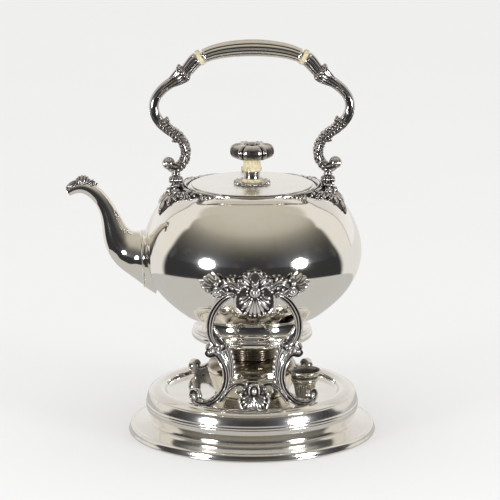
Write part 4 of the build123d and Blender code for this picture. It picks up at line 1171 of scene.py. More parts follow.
def crest_shell(geo, place):
    """Middle of the crest: fan above, bosses, drop shell below."""
    c0 = np.array([0.0, 138.0])
    for k in range(9):
        a = (k - 4) * 0.335
        d = np.array([math.sin(a), math.cos(a)])
        tip = 14.6 - 1.1 * abs(math.sin(a)) ** 2
        petal(geo, place, c0 + d * 5.0, c0 + d * tip, 2.25, 1.7, fat=0.72, lift=0.25, vein=0.0)
        bead(geo, place, *(c0 + d * (tip - 0.9)), 1.25, 0.8)
    for k in range(8):
        a = (k - 3.5) * 0.335
        d = np.array([math.sin(a), math.cos(a)])
        petal(geo, place, c0 + d * 6.0, c0 + d * 12.6, 0.6, 1.0, fat=0.7, lift=0.1)
    # ring of small leaves round the pivot screw, and the bosses under it
    for k in range(10):
        a = 2 * PI * k / 10 + 0.31
        c = np.array([3.6 * math.cos(a), 148.0 + 3.6 * math.sin(a)])
        if c[1] > 144.6:
            bead(geo, place, c[0], c[1], 1.0, 1.5, k=9)
    eye(geo, place, 0.0, 142.4, 3.0, 0.9)
    eye(geo, place, 0.0, 135.4, 4.3, 0.7)
    bead(geo, place, 0.0, 135.4, 2.5, 1.9, k=16)
    for k in range(5):
        for sgn in (-1, 1):
            a = 0.25 + 0.42 * k
            c = np.array([sgn * 4.9 * math.sin(a + 0.9), 135.4 + 4.9 * math.cos(a + 0.9)])
            e = np.array([sgn * 7.4 * math.sin(a + 0.72), 135.4 + 7.4 * math.cos(a + 0.72)])
            petal(geo, place, c, e, 1.1, 1.5, fat=0.55, lift=0.2)
    # drop shell
    c1 = np.array([0.0, 134.0])
    ends = [(0.0, 114.6), (3.6, 115.2), (6.9, 117.4), (10.2, 120.6), (12.4, 125.0), (12.9, 129.2)]
    for j, e in enumerate(ends):
        for sgn in ((1,) if j == 0 else (-1, 1)):
            tip = np.array([sgn * e[0], e[1]])
            d = (tip - c1) / np.linalg.norm(tip - c1)
            petal(geo, place, c1 + d * 4.9, tip, 1.75 if j < 4 else 1.4, 1.6, fat=0.66, lift=0.15, vein=0.0)
            if j < 4:
                bead(geo, place, *(tip - d * 0.8), 1.15, 0.8)


def crest_ground(A, B):
    fan = 0.35 * np.clip((B - 138) / 14, 0, 1)
    grain = 0.1 * np.sin(A * 2.3 + np.sin(B * 1.7)) * np.sin(B * 2.6 + np.sin(A * 1.9))
    return 0.1 + fan + grain


CREST_HIGH = [(0, 151.6), (4.6, 150.8), (8.6, 148.8), (12.0, 145.6), (17.5, 144.2), (24, 144.6), (29, 143.6), (33, 143.4), (37, 142.8), (40.6, 142.2), (43.0, 141.2)]
CREST_LOW = [(0, 114.6), (4.6, 115.2), (8.6, 117.0), (12.2, 120.2), (14.3, 124.6), (15.3, 129.0), (16.0, 131.2), (20.5, 131.0), (24.6, 131.4), (29, 130.0), (33.4, 131.2),
             (38.8, 135.0), (43.0, 139.8)]


def bracket_crest():
    g = Geo()
    low = [(-a, b) for a, b in CREST_LOW[::-1]] + CREST_LOW[1:]
    high = [(-a, b) for a, b in CREST_HIGH[::-1]] + CREST_HIGH[1:]
    plate(g, on_wall, low, high, -43.0, 43.0, crest_ground, back=-1.9, ds=0.8, m=34)
    half_crest(g, on_wall)
    half_crest(g, mirrored(on_wall))
    crest_shell(g, on_wall)
    return g


UPPER = [(17.4, 133.6), (20.6, 131.4), (24.8, 128.4), (29.8, 122.2), (34.0, 114.0), (36.1, 103.0), (35.4, 94.2), (32.2, 87.8), (28.0, 84.0), (24.0, 84.4), (22.6, 87.4),
         (24.6, 89.8), (27.2, 88.8)]
UPPER_W = [1.8, 2.6, 2.9, 3.05, 3.15, 3.15, 3.05, 2.8, 2.3, 1.6, 1.3, 1.0, 0.7]
LOWER = [(37.6, 81.2), (38.9, 78.6), (36.6, 76.6), (33.4, 77.4), (31.0, 78.2), (27.4, 75.2), (23.6, 68.8), (22.0, 61.3), (22.8, 53.0), (26.5, 45.2), (33.1, 38.4), (41.2, 34.5),
         (48.4, 34.3), (53.0, 36.8), (54.4, 40.6), (52.4, 43.6), (48.8, 43.6), (47.2, 41.2)]
LOWER_W = [0.8, 1.2, 1.5, 1.8, 2.2, 2.6, 2.9, 3.0, 3.0, 2.9, 2.7, 2.7, 2.8, 2.8, 2.4, 1.9, 1.4, 0.9]


def width_on(C, W, m=120):
    """Widths given at the corners of C, sampled evenly along its length."""
    P = np.asarray(C, float)
    t = np.concatenate([[0.0], np.cumsum(np.linalg.norm(np.diff(P, axis=0), axis=1))])
    return np.interp(np.linspace(0, t[-1], m), t, W)


def half_legs(g, place):
    sweep(g, place, UPPER, width_on(UPPER, UPPER_W), SCROLL, rise=[0.8, 1, 1, 1, 1, 1, 1.1, 1.15])
    sweep(g, place, LOWER, width_on(LOWER, LOWER_W), SCROLL, rise=[1.15, 1.05, 1, 1, 1, 1, 1.05, 1.2])
    bead(g, place, 25.2, 87.1, 1.9, 1.2, k=14)
    bead(g, place, 36.2, 79.9, 1.9, 1.2, k=14)
    bead(g, place, 50.4, 39.6, 2.9, 0.8, k=16)
    bead(g, place, 46.2, 41.0, 2.2, 1.0, k=14)
    # leaf springing from inside the upper scroll
    for a, b, w in (((33.4, 99.6), (25.6, 92.6), 1.25), ((31.4, 96.4), (24.2, 90.4), 1.2), ((32.4, 92.6), (26.8, 89.6), 1.1), ((32.6, 103.0), (27.8, 95.4), 1.1)):
        petal(g, place, a, b, w, 2.0, bend=0.12, fat=0.6, lift=0.2, vein=0.25)
    # link between the scrolls, and its leafwork down the inner side
    sweep(g, place, [(31.6, 85.2), (29.8, 81.6), (27.6, 78.4)], [2.4, 2.9, 2.5], REEDS3, rise=1.0, lift=0.1)
    sweep(g, place, [(24.0, 91.8), (21.6, 85.6), (19.4, 79.0), (18.1, 71.6), (17.6, 64.0), (18.5, 57.2), (20.9, 51.0)], [0.9, 1.6, 1.9, 1.8, 1.6, 1.5, 0.9], REEDS2, rise=0.92)
    sweep(g, place, [(27.6, 82.6), (24.2, 77.4), (21.0, 71.8), (19.6, 66.0)], [1.4, 2.2, 1.7, 0.8], REEDS2, rise=0.95)
    for k in range(8):
        z0 = 86.4 - 4.3 * k
        s0 = float(np.interp(z0, [51, 57.2, 64, 71.6, 79, 85.6, 91.8], [20.9, 18.5, 17.6, 18.1, 19.4, 21.6, 24.0]))
        petal(g, place, (s0 + 0.6, z0 + 1.5), (s0 - 2.6, z0 - 2.7), 1.15, 1.8, bend=-0.16, fat=0.55, lift=0.1, vein=0.2)
    petal(g, place, (33.8, 88.4), (39.4, 80.6), 1.5, 1.7, bend=0.18, fat=0.5, lift=0.1, vein=0.25)
    petal(g, place, (33.4, 84.4), (37.2, 76.4), 1.3, 1.5, bend=0.14, fat=0.5, vein=0.25)
    # foot: leaf over the curl
    for a, b, w in (((40.0, 37.6), (49.4, 39.0), 1.6), ((33.6, 41.4), (42.6, 38.2), 1.4), ((29.4, 46.0), (36.0, 41.4), 1.2), ((44.2, 33.4), (53.4, 35.8), 1.3),
                    ((49.4, 44.2), (53.6, 41.4), 1.2)):
        petal(g, place, a, b, w, 2.1, bend=-0.12, fat=0.55, lift=0.2, vein=0.3)
    # tenon foot into the tray
    sweep(g, place, [(36.0, 37.6), (39.0, 32.6), (40.0, 30.4)], [3.0, 3.4, 3.2], dome_section(0.9, -2.2, 11))
    sweep(g, place, [(49.0, 34.0), (48.6, 30.5)], [3.4, 3.4], dome_section(0.9, -2.2, 11))


def bracket_legs():
    g = Geo()
    half_legs(g, on_wall)
    half_legs(g, mirrored(on_wall))
    return g


def apron_ground(A, B):
    return -0.3 + 0.08 * np.sin(A * 3.1) * np.sin(B * 2.7)


def half_apron(g, place):
    sweep(g, place, [(27.0, 38.6), (24.4, 43.0), (20.4, 48.7), (14.7, 53.5), (9.4, 54.4), (6.2, 51.8), (7.2, 49.2), (9.4, 49.6)], [1.3, 1.9, 2.1, 2.1, 1.9, 1.5, 1.1, 0.7], SCROLL, rise=0.98)
    bead(g, place, 8.0, 50.7, 1.5, 1.0)
    for a, b, w in (((10.4, 51.0), (5.6, 55.0), 1.25), ((11.4, 49.6), (10.2, 44.4), 1.3), ((14.6, 50.6), (12.4, 46.0), 1.0), ((7.6, 49.0), (5.4, 46.6), 1.1)):
        petal(g, place, a, b, w, 1.9, bend=0.15, fat=0.6, lift=0.2, vein=0.3)
    bead(g, place, 5.8, 54.7, 0.95, 1.0)
    bead(g, place, 10.1, 44.2, 1.0, 1.0)
    # edge of the shell
    sweep(g, place, [(9.9, 46.2), (11.4, 41.8), (10.9, 37.0), (8.9, 33.0), (7.6, 31.0)], [0.9, 1.1, 1.1, 1.0, 0.9], dome_section(1.9, -1.8, 11), lift=0.1)


def bracket_apron():
    g = Geo()
    low = [(-10.6, 36.0), (-8.8, 32.2), (-7.4, 31.0), (7.4, 31.0), (8.8, 32.2), (10.6, 36.0)]
    high = [(-10.6, 44.0), (-8.0, 49.0), (-4.0, 52.6), (0, 53.4), (4.0, 52.6), (8.0, 49.0), (10.6, 44.0)]
    plate(g, on_wall, low, high, -10.6, 10.6, apron_ground, back=-1.8, ds=0.6, m=30)
    half_apron(g, on_wall)
    half_apron(g, mirrored(on_wall))
    # teardrop boss in its hood
    sweep(g, on_wall, [(-3.7, 46.4), (-3.9, 50.2), (-2.2, 53.2), (0, 54.0), (2.2, 53.2), (3.9, 50.2), (3.7, 46.4)], 0.95, dome_section(1.9, -1.8, 11), lift=0.2)
    petal(g, on_wall, (0, 45.2), (0, 52.6), 2.2, 2.6, fat=0.42, lift=0.3)
    c1 = np.array([0.0, 47.0])
    ends = [(0.0, 31.1), (2.9, 31.3), (5.8, 32.0), (8.4, 34.6), (9.9, 38.2), (9.6, 42.2)]
    for j, e in enumerate(ends):
        for sgn in ((1,) if j == 0 else (-1, 1)):
            tip = np.array([sgn * e[0], e[1]])
            d = (tip - c1) / np.linalg.norm(tip - c1)
            petal(g, on_wall, c1 + d * 2.6, tip, 1.35 if j < 4 else 1.1, 1.9, fat=0.7, lift=0.15)
            bead(g, on_wall, *(tip - d * 0.9 + np.array([0, 0.0])), 0.95 if j < 4 else 0.8, 0.8, k=9)
    return g


for end, turn_ in (("front", None), ("back", TURN_Z)):
    for part_, builder, nodes_ in (
        ("crest", bracket_crest, [f"{end}_bracket_crest"]),
        ("legs", bracket_legs, [f"{end}_bracket_leg_left", f"{end}_bracket_leg_right"]),
        ("apron", bracket_apron, [f"{end}_bracket_apron"]),
    ):
        g = builder()
        if turn_ is not None:
            g = g.turned(turn_)
        make(g, f"{end}_{part_}_cast", CAST_SILVER, "stand", nodes_, sharp=50, cav=True, reach=2.0, rays=10)


# ---------------------------------------------------------------------------
# Bail handle: grip, insulating bands, scrolled arms
# ---------------------------------------------------------------------------
def tube_ground(path, start=-PI / 2):
    """Ground coordinates on a round arm: s along it, c round it from its front line, n above it."""
    L = np.concatenate([[0.0], np.cumsum(np.linalg.norm(np.diff(path[:, :2], axis=0), axis=1))])
    T = np.gradient(path[:, :2], axis=0)
    T /= np.linalg.norm(T, axis=1)[:, None]

    def place(s, c, n):
        s, c, n = np.broadcast_arrays(np.asarray(s, float), np.asarray(c, float), np.asarray(n, float))
        x, z, r = (np.interp(s, L, path[:, k]) for k in range(3))
        tx, tz = np.interp(s, L, T[:, 0]), np.interp(s, L, T[:, 1])
        k = np.hypot(tx, tz)
        tx, tz = tx / k, tz / k
        a = start + c / r
        rr = (r + n) * np.cos(a)
        return np.stack([x + rr * tz, (r + n) * np.sin(a), z - rr * tx], axis=-1)

    return place, L


def back_of(place):
    """The same ground on the far side."""
    def other(s, c, n):
        P = place(s, c, n)
        P[..., 1] *= -1
        return P
    return other


def tube(geo, path, n, shape, start=0):
    """A tube along (x, z, r) in the XZ plane, its radius scaled by shape(length, angle)."""
    L = np.concatenate([[0.0], np.cumsum(np.linalg.norm(np.diff(path[:, :2], axis=0), axis=1))])
    C = np.stack([path[:, 0], np.zeros(len(path)), path[:, 1]], axis=-1)
    total = L[-1]
    return tube_xz(geo, C, path[:, 2], n=n, shape=lambda u, a: shape(np.interp(u, np.linspace(0, 1, len(L)), L), a, total))


GRIP = [(-39.0, 305.95, 5.7), (-37.0, 306.6, 5.7), (-33, 308.1, 5.95), (-24, 310.4, 6.35), (-12, 312, 6.7), (0, 312.5, 6.85), (12, 312, 6.7), (24, 310.4, 6.35), (33, 308.1, 5.95),
        (37.0, 306.6, 5.7), (39.0, 305.95, 5.7)]
grip_path = cubic(GRIP, 200)
grip_path[:, 2] = np.clip(grip_path[:, 2], 5.5, 6.85)


def grip_reeds(s, a, total):
    e = np.minimum(s, total - s)
    k = step(e, 1.6, 2.6)
    reed = np.abs(np.cos(5 * a)) ** 0.55
    ring_ = 0.05 * bump(e, 1.2, 0.55)
    return 1.0 - k * 0.115 * (1 - reed) - 0.06 * (1 - step(e, 0.0, 0.9)) + ring_ - 0.02 * bump(e, 2.1, 0.35)


g = Geo()
tube(g, grip_path, 120, grip_reeds)
make(g, "grip", GRIP_SILVER, "handle", ["handle_grip"], sharp=60, cav=True, reach=1.6, rays=10)

ARM = [(44.6, 302.6, 5.9), (48.4, 298.6, 5.8), (52.6, 293.2, 5.4), (57.8, 289, 4.9), (63.8, 285, 4.4), (69.8, 280.6, 4.2), (74.6, 275.4, 4), (77.3, 270, 3.9), (77.9, 264.4, 3.9),
       (76.6, 258.8, 4), (73.2, 253.4, 4.1), (68.4, 248.8, 4.2), (63, 244.8, 4.2), (57.8, 240.6, 4.1), (54.2, 235.2, 4), (52.8, 229, 3.9), (53.9, 222.6, 3.8), (57.2, 217.8, 3.7),
       (60.6, 215.4, 3.7), (64.2, 216.2, 3.7), (66.4, 218.8, 3.7)]
direction = np.array([0.88, -0.475])
direction /= np.linalg.norm(direction)
band_far = np.array([39.6, 305.7]) + 3.8 * direction
upper_arm = cubic([(band_far[0], band_far[1], 5.9), (45.2, 302.2, 5.9), (48.4, 298.6, 5.6), (51.4, 294.9, 5.3), (53.6, 292.2, 5.0)], 60)
lower_arm = cubic([(51.6, 294.4, 5.0), (53.6, 292.6, 6.3), (57.8, 289.2, 5.5)] + ARM[4:], 420)
lower_arm[:, 2] = np.clip(lower_arm[:, 2], 3.6, 6.5)
place_up, L_up = tube_ground(upper_arm)
place_low, L_low = tube_ground(lower_arm)


def at_height(z, first=True):
    """Length along the lower arm where it passes height z."""
    i = np.argmin(np.abs(lower_arm[:, 1] - z))
    return float(L_low[i])


S_POINT, S_SMOOTH, S_LEAF, S_END = at_height(271.0), at_height(262.0), at_height(251.0), float(L_low[-1])


def upper_reeds(s, a, total):
    e = np.minimum(s, total - s)
    return 1.0 - 0.13 * step(s, 0.9, 1.8) * (1 - np.abs(np.cos(4.5 * a)) ** 0.6) - 0.05 * (1 - step(s, 0.0, 0.8)) - 0.10 * (1 - step(total - s, 0.0, 1.5)) + 0.0 * e


def lower_reeds(s, a, total):
    first = step(s, 1.2, 3.0) * (1 - step(s, S_POINT - 6, S_POINT + 2))
    second = step(s, S_SMOOTH - 4, S_SMOOTH + 6) * (1 - step(s, S_LEAF + 4, S_LEAF + 16))
    facet = bump(s, (S_POINT + S_SMOOTH) / 2, 9.0)
    strand = 1 - np.abs(np.cos(4 * a)) ** 0.6
    rim_ = 1.0 - 0.22 * (1 - step(s, 0.0, 1.6))
    mouth_ = 1.0 - 0.12 * step(total - s, 3.0, 0.0)
    return (1.0 - 0.12 * first * strand - 0.10 * second * strand - 0.05 * facet * (1 - np.abs(np.cos(3 * a)) ** 0.8)) * rim_ * mouth_


def arm():
    g = Geo()
    tube(g, upper_arm, 108, upper_reeds)
    tube(g, lower_arm, 72, lower_reeds)
    for face in (place_low, back_of(place_low)):
        # long pointed leaves out of the elbow
        for c, reach_, w in ((-6.6, 15, 1.5), (-3.3, 20, 1.6), (0.0, 25, 1.7), (3.3, 20, 1.6), (6.6, 15, 1.5)):
            petal(g, face, (2.0, c), (2.0 + reach_, c * 0.5), w, 1.3, fat=0.32, back=-1.4, lift=0.05, vein=0.65, m=20)
        for c in (-5.2, -1.7, 1.7, 5.2):
            petal(g, face, (0.6, c), (5.4, c * 0.9), 1.3, 1.3, fat=0.55, back=-1.2, vein=0.5)
        # leafage below the smooth stretch: a rib with curled lobes to both sides
        sweep(g, face, [(S_LEAF - 6, 0.2), (S_LEAF + 10, 0.4), (S_LEAF + 26, -0.3), (S_END - 10, 0.0)], [0.4, 0.8, 0.8, 0.6], dome_section(1.1, -1.4, 9))
        k = 0
        s = S_LEAF - 4
        while s < S_END - 9:
            size = 3.3 + 0.5 * math.sin(1.7 * k)
            for side in (1, -1):
                petal(g, face, (s, side * 0.5), (s + 3.4, side * size), 1.05, 1.15, bend=-0.16 * side, fat=0.62, back=-1.4, lift=0.05, vein=0.3, m=10, nv=9)
                petal(g, face, (s + 1.6, side * 2.6), (s + 4.6, side * (size + 2.0)), 0.85, 0.9, bend=-0.14 * side, fat=0.6, back=-1.4, vein=0.2, m=8, nv=7)
            if k % 2 == 0:
                bead(g, face, s + 2.0, 3.9, 0.62, 0.45, k=7)
                bead(g, face, s + 3.4, -3.9, 0.62, 0.45, k=7)
            s += 3.1
            k += 1
        # strands that start on the outside of the bend and end in the outer bud
        for c, a0, b0 in ((-4.6, S_SMOOTH - 2, S_LEAF + 15), (-2.6, S_SMOOTH + 3, S_LEAF + 9), (3.0, S_SMOOTH + 6, S_LEAF + 3)):
            petal(g, face, (a0, c), (b0, c * 0.8), 0.95, 0.8, fat=0.6, back=-1.4, vein=0.2, m=20)
    # buds: over the elbow, inside the bend, outside it
    inner_line = PI / 2 * 1.0
    for s0, side, size in ((1.6, -1, 0.85), (S_LEAF - 2.0, 1, 1.1), (at_height(242.0), -1, 0.9)):
        i = int(np.argmin(np.abs(L_low - s0)))
        r = lower_arm[i, 2]
        c0 = side * r * inner_line
        petal(g, place_low, (s0 - 1.0, c0), (s0 + 3.6 * size, c0), 1.9 * size, 2.4 * size, fat=0.4, back=-1.8, lift=0.3, vein=0.4)
        for dc in (-2.1, 2.1):
            petal(g, place_low, (s0 - 0.6, c0 + dc * size), (s0 + 3.4 * size, c0 + 1.7 * dc * size), 1.3 * size, 1.7 * size, fat=0.45, back=-1.8, lift=0.1, vein=0.3)
        bead(g, place_low, s0 + 0.3, c0, 1.25 * size, 1.7 * size, k=10)
        bead(g, place_low, s0 + 3.3 * size, c0, 0.85 * size, 1.0 * size, k=9)
    # the scroll's ball
    th = np.linspace(0, PI, 40)
    ph = np.arange(72) * 2 * PI / 72
    TT, QQ = np.meshgrid(th, ph, indexing="ij")
    turn_ = (TT / PI * 2.6 + QQ / (2 * PI)) % 1.0
    groove = np.exp(-((np.minimum(turn_, 1 - turn_) / 0.085) ** 2)) * step(np.sin(TT), 0.12, 0.35)
    rr = 5.1 * (1 - 0.085 * groove)
    g.grid(np.stack([66.6 + rr * np.sin(TT) * np.cos(QQ), rr * np.cos(TT), 219.7 + rr * np.sin(TT) * np.sin(QQ)], axis=-1), wrap_v=True)
    for sy in (-1, 1):
        ball(g, (66.6, sy * 4.7, 219.7), 1.3, n=12)
    # neck and the middle knuckle of the hinge
    neck = profile(
        [
            [(0, 216.4), (2.6, 216.4)],
            [(2.6, 216.4), (2.75, 214.8)],
            [(2.75, 214.8), (3.6, 214.2), (3.8, 213.4), (3.6, 212.7)],
            [(3.6, 212.7), (3.3, 212.2), (3.2, 211.5), (3.3, 210.9)],
            [(3.3, 210.9), (3.9, 210.6), (3.7, 210.1)],
            [(3.7, 210.1), (2.2, 209.9), (1.95, 209.2), (1.95, 206.0)],
            [(1.95, 206.0), (0, 206.0)],
        ],
        ds=0.3,
        fillet=0.15,
    )
    lathe(g, neck, n=72, centre=(60.7, 0))
    barrel(g, 58.6, 62.8, 4.1, 1.3)
    return g


def barrel(geo, x0, x1, r, bore, z=205.9):
    """A hinge knuckle round an axis along X, with a shallow groove round its middle."""
    m = (x0 + x1) / 2
    h = (x1 - x0) / 2
    t_ = np.linspace(-1, 1, 25)
    away = np.clip(np.abs(m + t_ * h - 60.7) / 6.6, 0, 0.95)
    edge = 0.35 * np.clip((np.abs(t_) - 0.72) / 0.28, 0, 1) ** 2
    rib = 0.5 - 0.5 * np.cos(2 * PI * (t_ + 1))
    R_ = np.maximum(r * np.sqrt(1 - away**2) - edge - 0.32 * (1 - rib) * (np.abs(t_) < 0.9), bore + 0.5)
    P = np.vstack([[(bore, -h)], np.stack([R_, t_ * h], axis=-1), [(bore, h)]])
    dark = np.concatenate([[0.3], 0.36 * (1 - rib) ** 2 + 0.1, [0.3]])[None, :]
    th = (np.arange(64) * 2 * PI / 64)[:, None]
    G = np.stack([np.broadcast_to(m + P[:, 1], (64, len(P))), P[:, 0] * np.sin(th), z + P[:, 0] * np.cos(th)], axis=-1)
    geo.grid(G, wrap_u=True, wrap_v=True, shade_and_tarnish=dark)


def band():
    """Insulating ring between grip and arm."""
    g = Geo()
    a = np.array([39.6, 305.7]) - 0.02 * direction
    P = np.array([(0.0, 0.0), (5.6, 0.0), (6.25, 0.12), (6.5, 0.55), (6.55, 1.9), (6.5, 3.25), (6.25, 3.68), (5.6, 3.8), (0.0, 3.8)])
    P = np.vstack([resample(P[i:i + 2], 4)[:-1] for i in range(len(P) - 1)] + [P[-1:]])
    th = (np.arange(96) * 2 * PI / 96)[:, None]
    across = np.array([-direction[1], direction[0]])
    R_ = P[:, 0] * np.cos(th)
    G = np.stack([a[0] + P[:, 1] * direction[0] + R_ * across[0], P[:, 0] * np.sin(th), a[1] + P[:, 1] * direction[1] + R_ * across[1]], axis=-1)
    g.grid(G, wrap_u=True)
    return g


for side_, flip_ in (("right", False), ("left", True)):
    g = arm()
    b_ = band()
    if flip_:
        g, b_ = g.turned(MIRROR_X, True), b_.turned(MIRROR_X, True)
    make(g, f"arm_{side_}", ARM_SILVER, "handle", [f"handle_arm_{side_}"], sharp=55, cav=True, reach=1.5, rays=10)
    make(b_, f"band_{side_}", IVORY_BAND, "handle", [f"handle_insulator_{side_}"], sharp=50, cav=True, reach=1.5, rays=8)

# ---------------------------------------------------------------------------
# Handle mounts: a post with two knuckles on a spray of leaves along the lid's edge
# ---------------------------------------------------------------------------
skin_r, skin_z = skin[::-1, 0], skin[::-1, 1]


def on_shoulder(a, q, n):
    """a mm along the lid's edge from the +X side towards the front, q the radius, n above the body."""
    a, q, n = np.broadcast_arrays(np.asarray(a, float), np.asarray(q, float), np.asarray(n, float))
    top = int(np.argmax(skin[:, 0]))
    R_, Z_ = skin[top:, 0][::-1], skin[top:, 1][::-1]
    z = np.interp(q, R_, Z_)
    slope = np.interp(q, R_, np.gradient(Z_, R_))
    c = 1 / np.sqrt(1 + slope**2)
    th = a / 56.0
    r = q - n * slope * c
    return np.stack([r * np.cos(th), -r * np.sin(th), z + n * c], axis=-1)


def deg_mm(d):
    return math.radians(d) * 56.0


SPRAY_OUT = [(deg_mm(d), r) for d, r in ((0, 67.0), (5, 69.0), (10, 72.0), (14, 75.0), (16.4, 76.8), (18.4, 74.2), (20.5, 69.6), (23, 65.6), (27, 62.4), (32, 61.2), (36, 60.0), (38, 56.4),
                                         (40.5, 54.2), (43, 55.0), (46, 56.6), (50, 56.4), (53, 54.4), (57, 53.4), (63, 52.6))]
SPRAY_IN = [(deg_mm(d), r) for d, r in ((0, 51.4), (20, 51.4), (40, 51.4), (52, 51.5), (63, 51.7))]


def half_spray(g, place):
    # stem along the lid's edge
    sweep(g, place, [(0, 54.2), (12, 54.0), (26, 53.6), (38, 53.0), (48, 52.8), (61.6, 52.3)], [2.4, 2.2, 1.6, 1.1, 0.9, 0.4], REEDS2, rise=[1.5, 1.4, 1.2, 0.9, 0.8, 0.4], lift=0.4)
    # each lobe: where it springs from, its tip (both in degrees and radius), half width, height, lift
    lobes = [
        ((5.0, 60.5), (16.4, 77.0), 2.1, 2.2, 0.5), ((3.0, 60.5), (9.6, 73.4), 1.7, 2.5, 0.8), ((1.2, 61.0), (4.4, 69.6), 1.7, 2.8, 0.9),
        ((9.0, 62.0), (20.6, 70.4), 1.7, 2.1, 0.5), ((12.0, 60.6), (24.0, 65.4), 1.6, 2.3, 0.6), ((9.0, 66.8), (13.2, 75.6), 1.3, 1.8, 0.4),
        ((14.0, 58.4), (27.0, 62.6), 1.6, 2.6, 0.7), ((19.0, 56.6), (31.6, 61.8), 1.6, 2.7, 0.7), ((24.0, 55.6), (36.0, 60.4), 1.5, 2.5, 0.6),
        ((27.0, 54.6), (38.0, 57.0), 1.3, 2.2, 0.5), ((16.0, 55.0), (24.0, 52.0), 1.2, 2.2, 0.6), ((22.0, 54.4), (31.0, 51.9), 1.2, 2.0, 0.6), ((29.0, 53.8), (37.0, 51.8), 1.0, 1.6, 0.4),
        ((41.0, 53.2), (46.6, 57.0), 1.2, 1.9, 0.4), ((44.4, 53.2), (50.6, 56.8), 1.1, 1.8, 0.4), ((47.4, 53.0), (53.2, 54.8), 0.9, 1.5, 0.3), ((43.0, 53.0), (49.0, 51.6), 0.8, 1.4, 0.3),
        ((53.0, 52.7), (57.6, 54.0), 0.7, 1.0, 0.2), ((57.0, 52.5), (61.4, 53.2), 0.6, 0.8, 0.1),
    ]
    for (d0, r0), (d1, r1), w, h, up in lobes:
        petal(g, place, (deg_mm(d0), r0), (deg_mm(d1), r1), w, h, bend=0.1, fat=0.55, back=-0.7, lift=up, vein=0.6, m=16)
        k = 0.86
        bead(g, place, deg_mm(d0 + (d1 - d0) * k), r0 + (r1 - r0) * k, 0.42 * w, h * 0.62 + up, k=9)
    for d, r, size, up in ((7.4, 64.8, 1.3, 2.1), (11.6, 69.6, 1.0, 1.9), (16.4, 64.0, 1.1, 2.0), (20.4, 60.4, 1.2, 2.4), (33.6, 56.6, 1.2, 2.0), (39.8, 53.4, 1.1, 1.3), (51.6, 52.9, 0.8, 0.9),
                           (62.6, 52.2, 0.6, 0.4)):
        bead(g, place, deg_mm(d), r, size, up, k=10)
    eye(g, place, deg_mm(27.6), 57.0, 2.2, 1.9)
    eye(g, place, deg_mm(12.6), 61.0, 2.3, 2.0)


def mount():
    g = Geo()
    outline_hi = [(-a, r) for a, r in SPRAY_OUT[:0:-1]] + SPRAY_OUT
    outline_lo = [(-a, r) for a, r in SPRAY_IN[:0:-1]] + SPRAY_IN
    plate(g, on_shoulder, outline_lo, outline_hi, -deg_mm(63), deg_mm(63), lambda A, B: 0.45 + 0.1 * np.sin(2.1 * A) * np.sin(2.7 * B), back=-0.6, ds=0.6, m=16)
    half_spray(g, on_shoulder)
    half_spray(g, mirrored(on_shoulder))
    petal(g, on_shoulder, (0, 61.5), (0, 68.4), 1.9, 3.0, fat=0.5, back=-0.7, lift=0.8, vein=0.7, m=20)
    bead(g, on_shoulder, 0, 63.0, 2.0, 2.6, k=12)
    # post: a waisted neck that opens into a dished cup under the knuckles
    m = 40
    a = (np.arange(m) * 2 * PI / m)[None, :]
    rows = np.asarray([(6.8, 4.9, 194.6), (6.3, 4.6, 197.0), (4.7, 3.9, 198.4), (3.7, 3.5, 199.3), (3.7, 3.5, 199.9), (4.4, 3.7, 200.6), (5.4, 4.05, 201.1), (5.65, 4.15, 201.5), (5.5, 4.0, 201.85),
                       (4.9, 3.4, 201.75), (3.6, 2.2, 201.35)])
    X = 60.7 + rows[:, 0:1] * np.cos(a)
    Y = rows[:, 1:2] * np.sin(a)
    g.grid(np.stack([X, Y, np.broadcast_to(rows[:, 2:3], X.shape)], axis=-1), wrap_v=True, caps=True)
    for sx in (-1, 1):
        cx = 60.7 + sx * 3.4
        br = np.asarray([(1.05, 2.5, 200.9), (1.05, 2.5, 203.0), (1.0, 2.2, 205.0)])
        Xb = cx + br[:, 0:1] * np.sign(np.cos(a)) * np.abs(np.cos(a)) ** 0.5
        Yb = br[:, 1:2] * np.sign(np.sin(a)) * np.abs(np.sin(a)) ** 0.5
        g.grid(np.stack([Xb, Yb, np.broadcast_to(br[:, 2:3], Xb.shape)], axis=-1), wrap_v=True, caps=True)
        lo, hi = sorted((60.7 + sx * 2.3, 60.7 + sx * 5.6))
        barrel(g, lo, hi, 4.1, 1.26)
    # small leaves standing against the post
    for k in range(14):
        t_ = 2 * PI * (k + 0.5) / 14
        ball(g, (60.7 + 6.7 * math.cos(t_), 5.0 * math.sin(t_), 197.2 + 0.5 * math.cos(2 * t_)), 1.5, squash=(1, 1, 1.5), n=9)
    return g


for side_, flip_ in (("right", False), ("left", True)):
    g = mount()
    if flip_:
        g = g.turned(MIRROR_X, True)
    make(g, f"mount_{side_}", MOUNT_SILVER, "kettle", [f"handle_mount_{side_}"], sharp=55, cav=True, reach=1.8, rays=10)

# ---------------------------------------------------------------------------
# Spout
# ---------------------------------------------------------------------------
SPOUT = [(-72.0, 141.8, 27.5, 23.6), (-78, 143, 26, 23.0), (-88.6, 145.6, 20.4, 20.4), (-97.6, 149.4, 17, 16.8), (-104.8, 155.4, 13.6, 13.0), (-109.4, 163.6, 10.6, 10.4),
         (-112.6, 173.6, 8.2, 8.4), (-116.2, 183, 6.7, 6.9), (-121.4, 191.4, 5.9, 6.1), (-128, 197.6, 5.5, 5.6), (-135.2, 200.4, 5, 5.1), (-141.6, 199.4, 4.2, 4.5), (-146.6, 196.6, 3.4, 3.9)]
line = cubic(SPOUT, 900)
DEEP = [(72, 23.6), (78, 23.2), (88.6, 20.6), (93, 18.9), (97.6, 15.7), (101.5, 13.0), (104.8, 11.6), (109.4, 10.1), (112.6, 8.8), (116.2, 7.6), (121.4, 6.6), (128, 5.8), (135.2, 5.1),
        (141.6, 4.5), (146.6, 3.9)]
line[:, 3] = np.interp(-line[:, 0], *zip(*DEEP))
line = fair(line, 4e5)
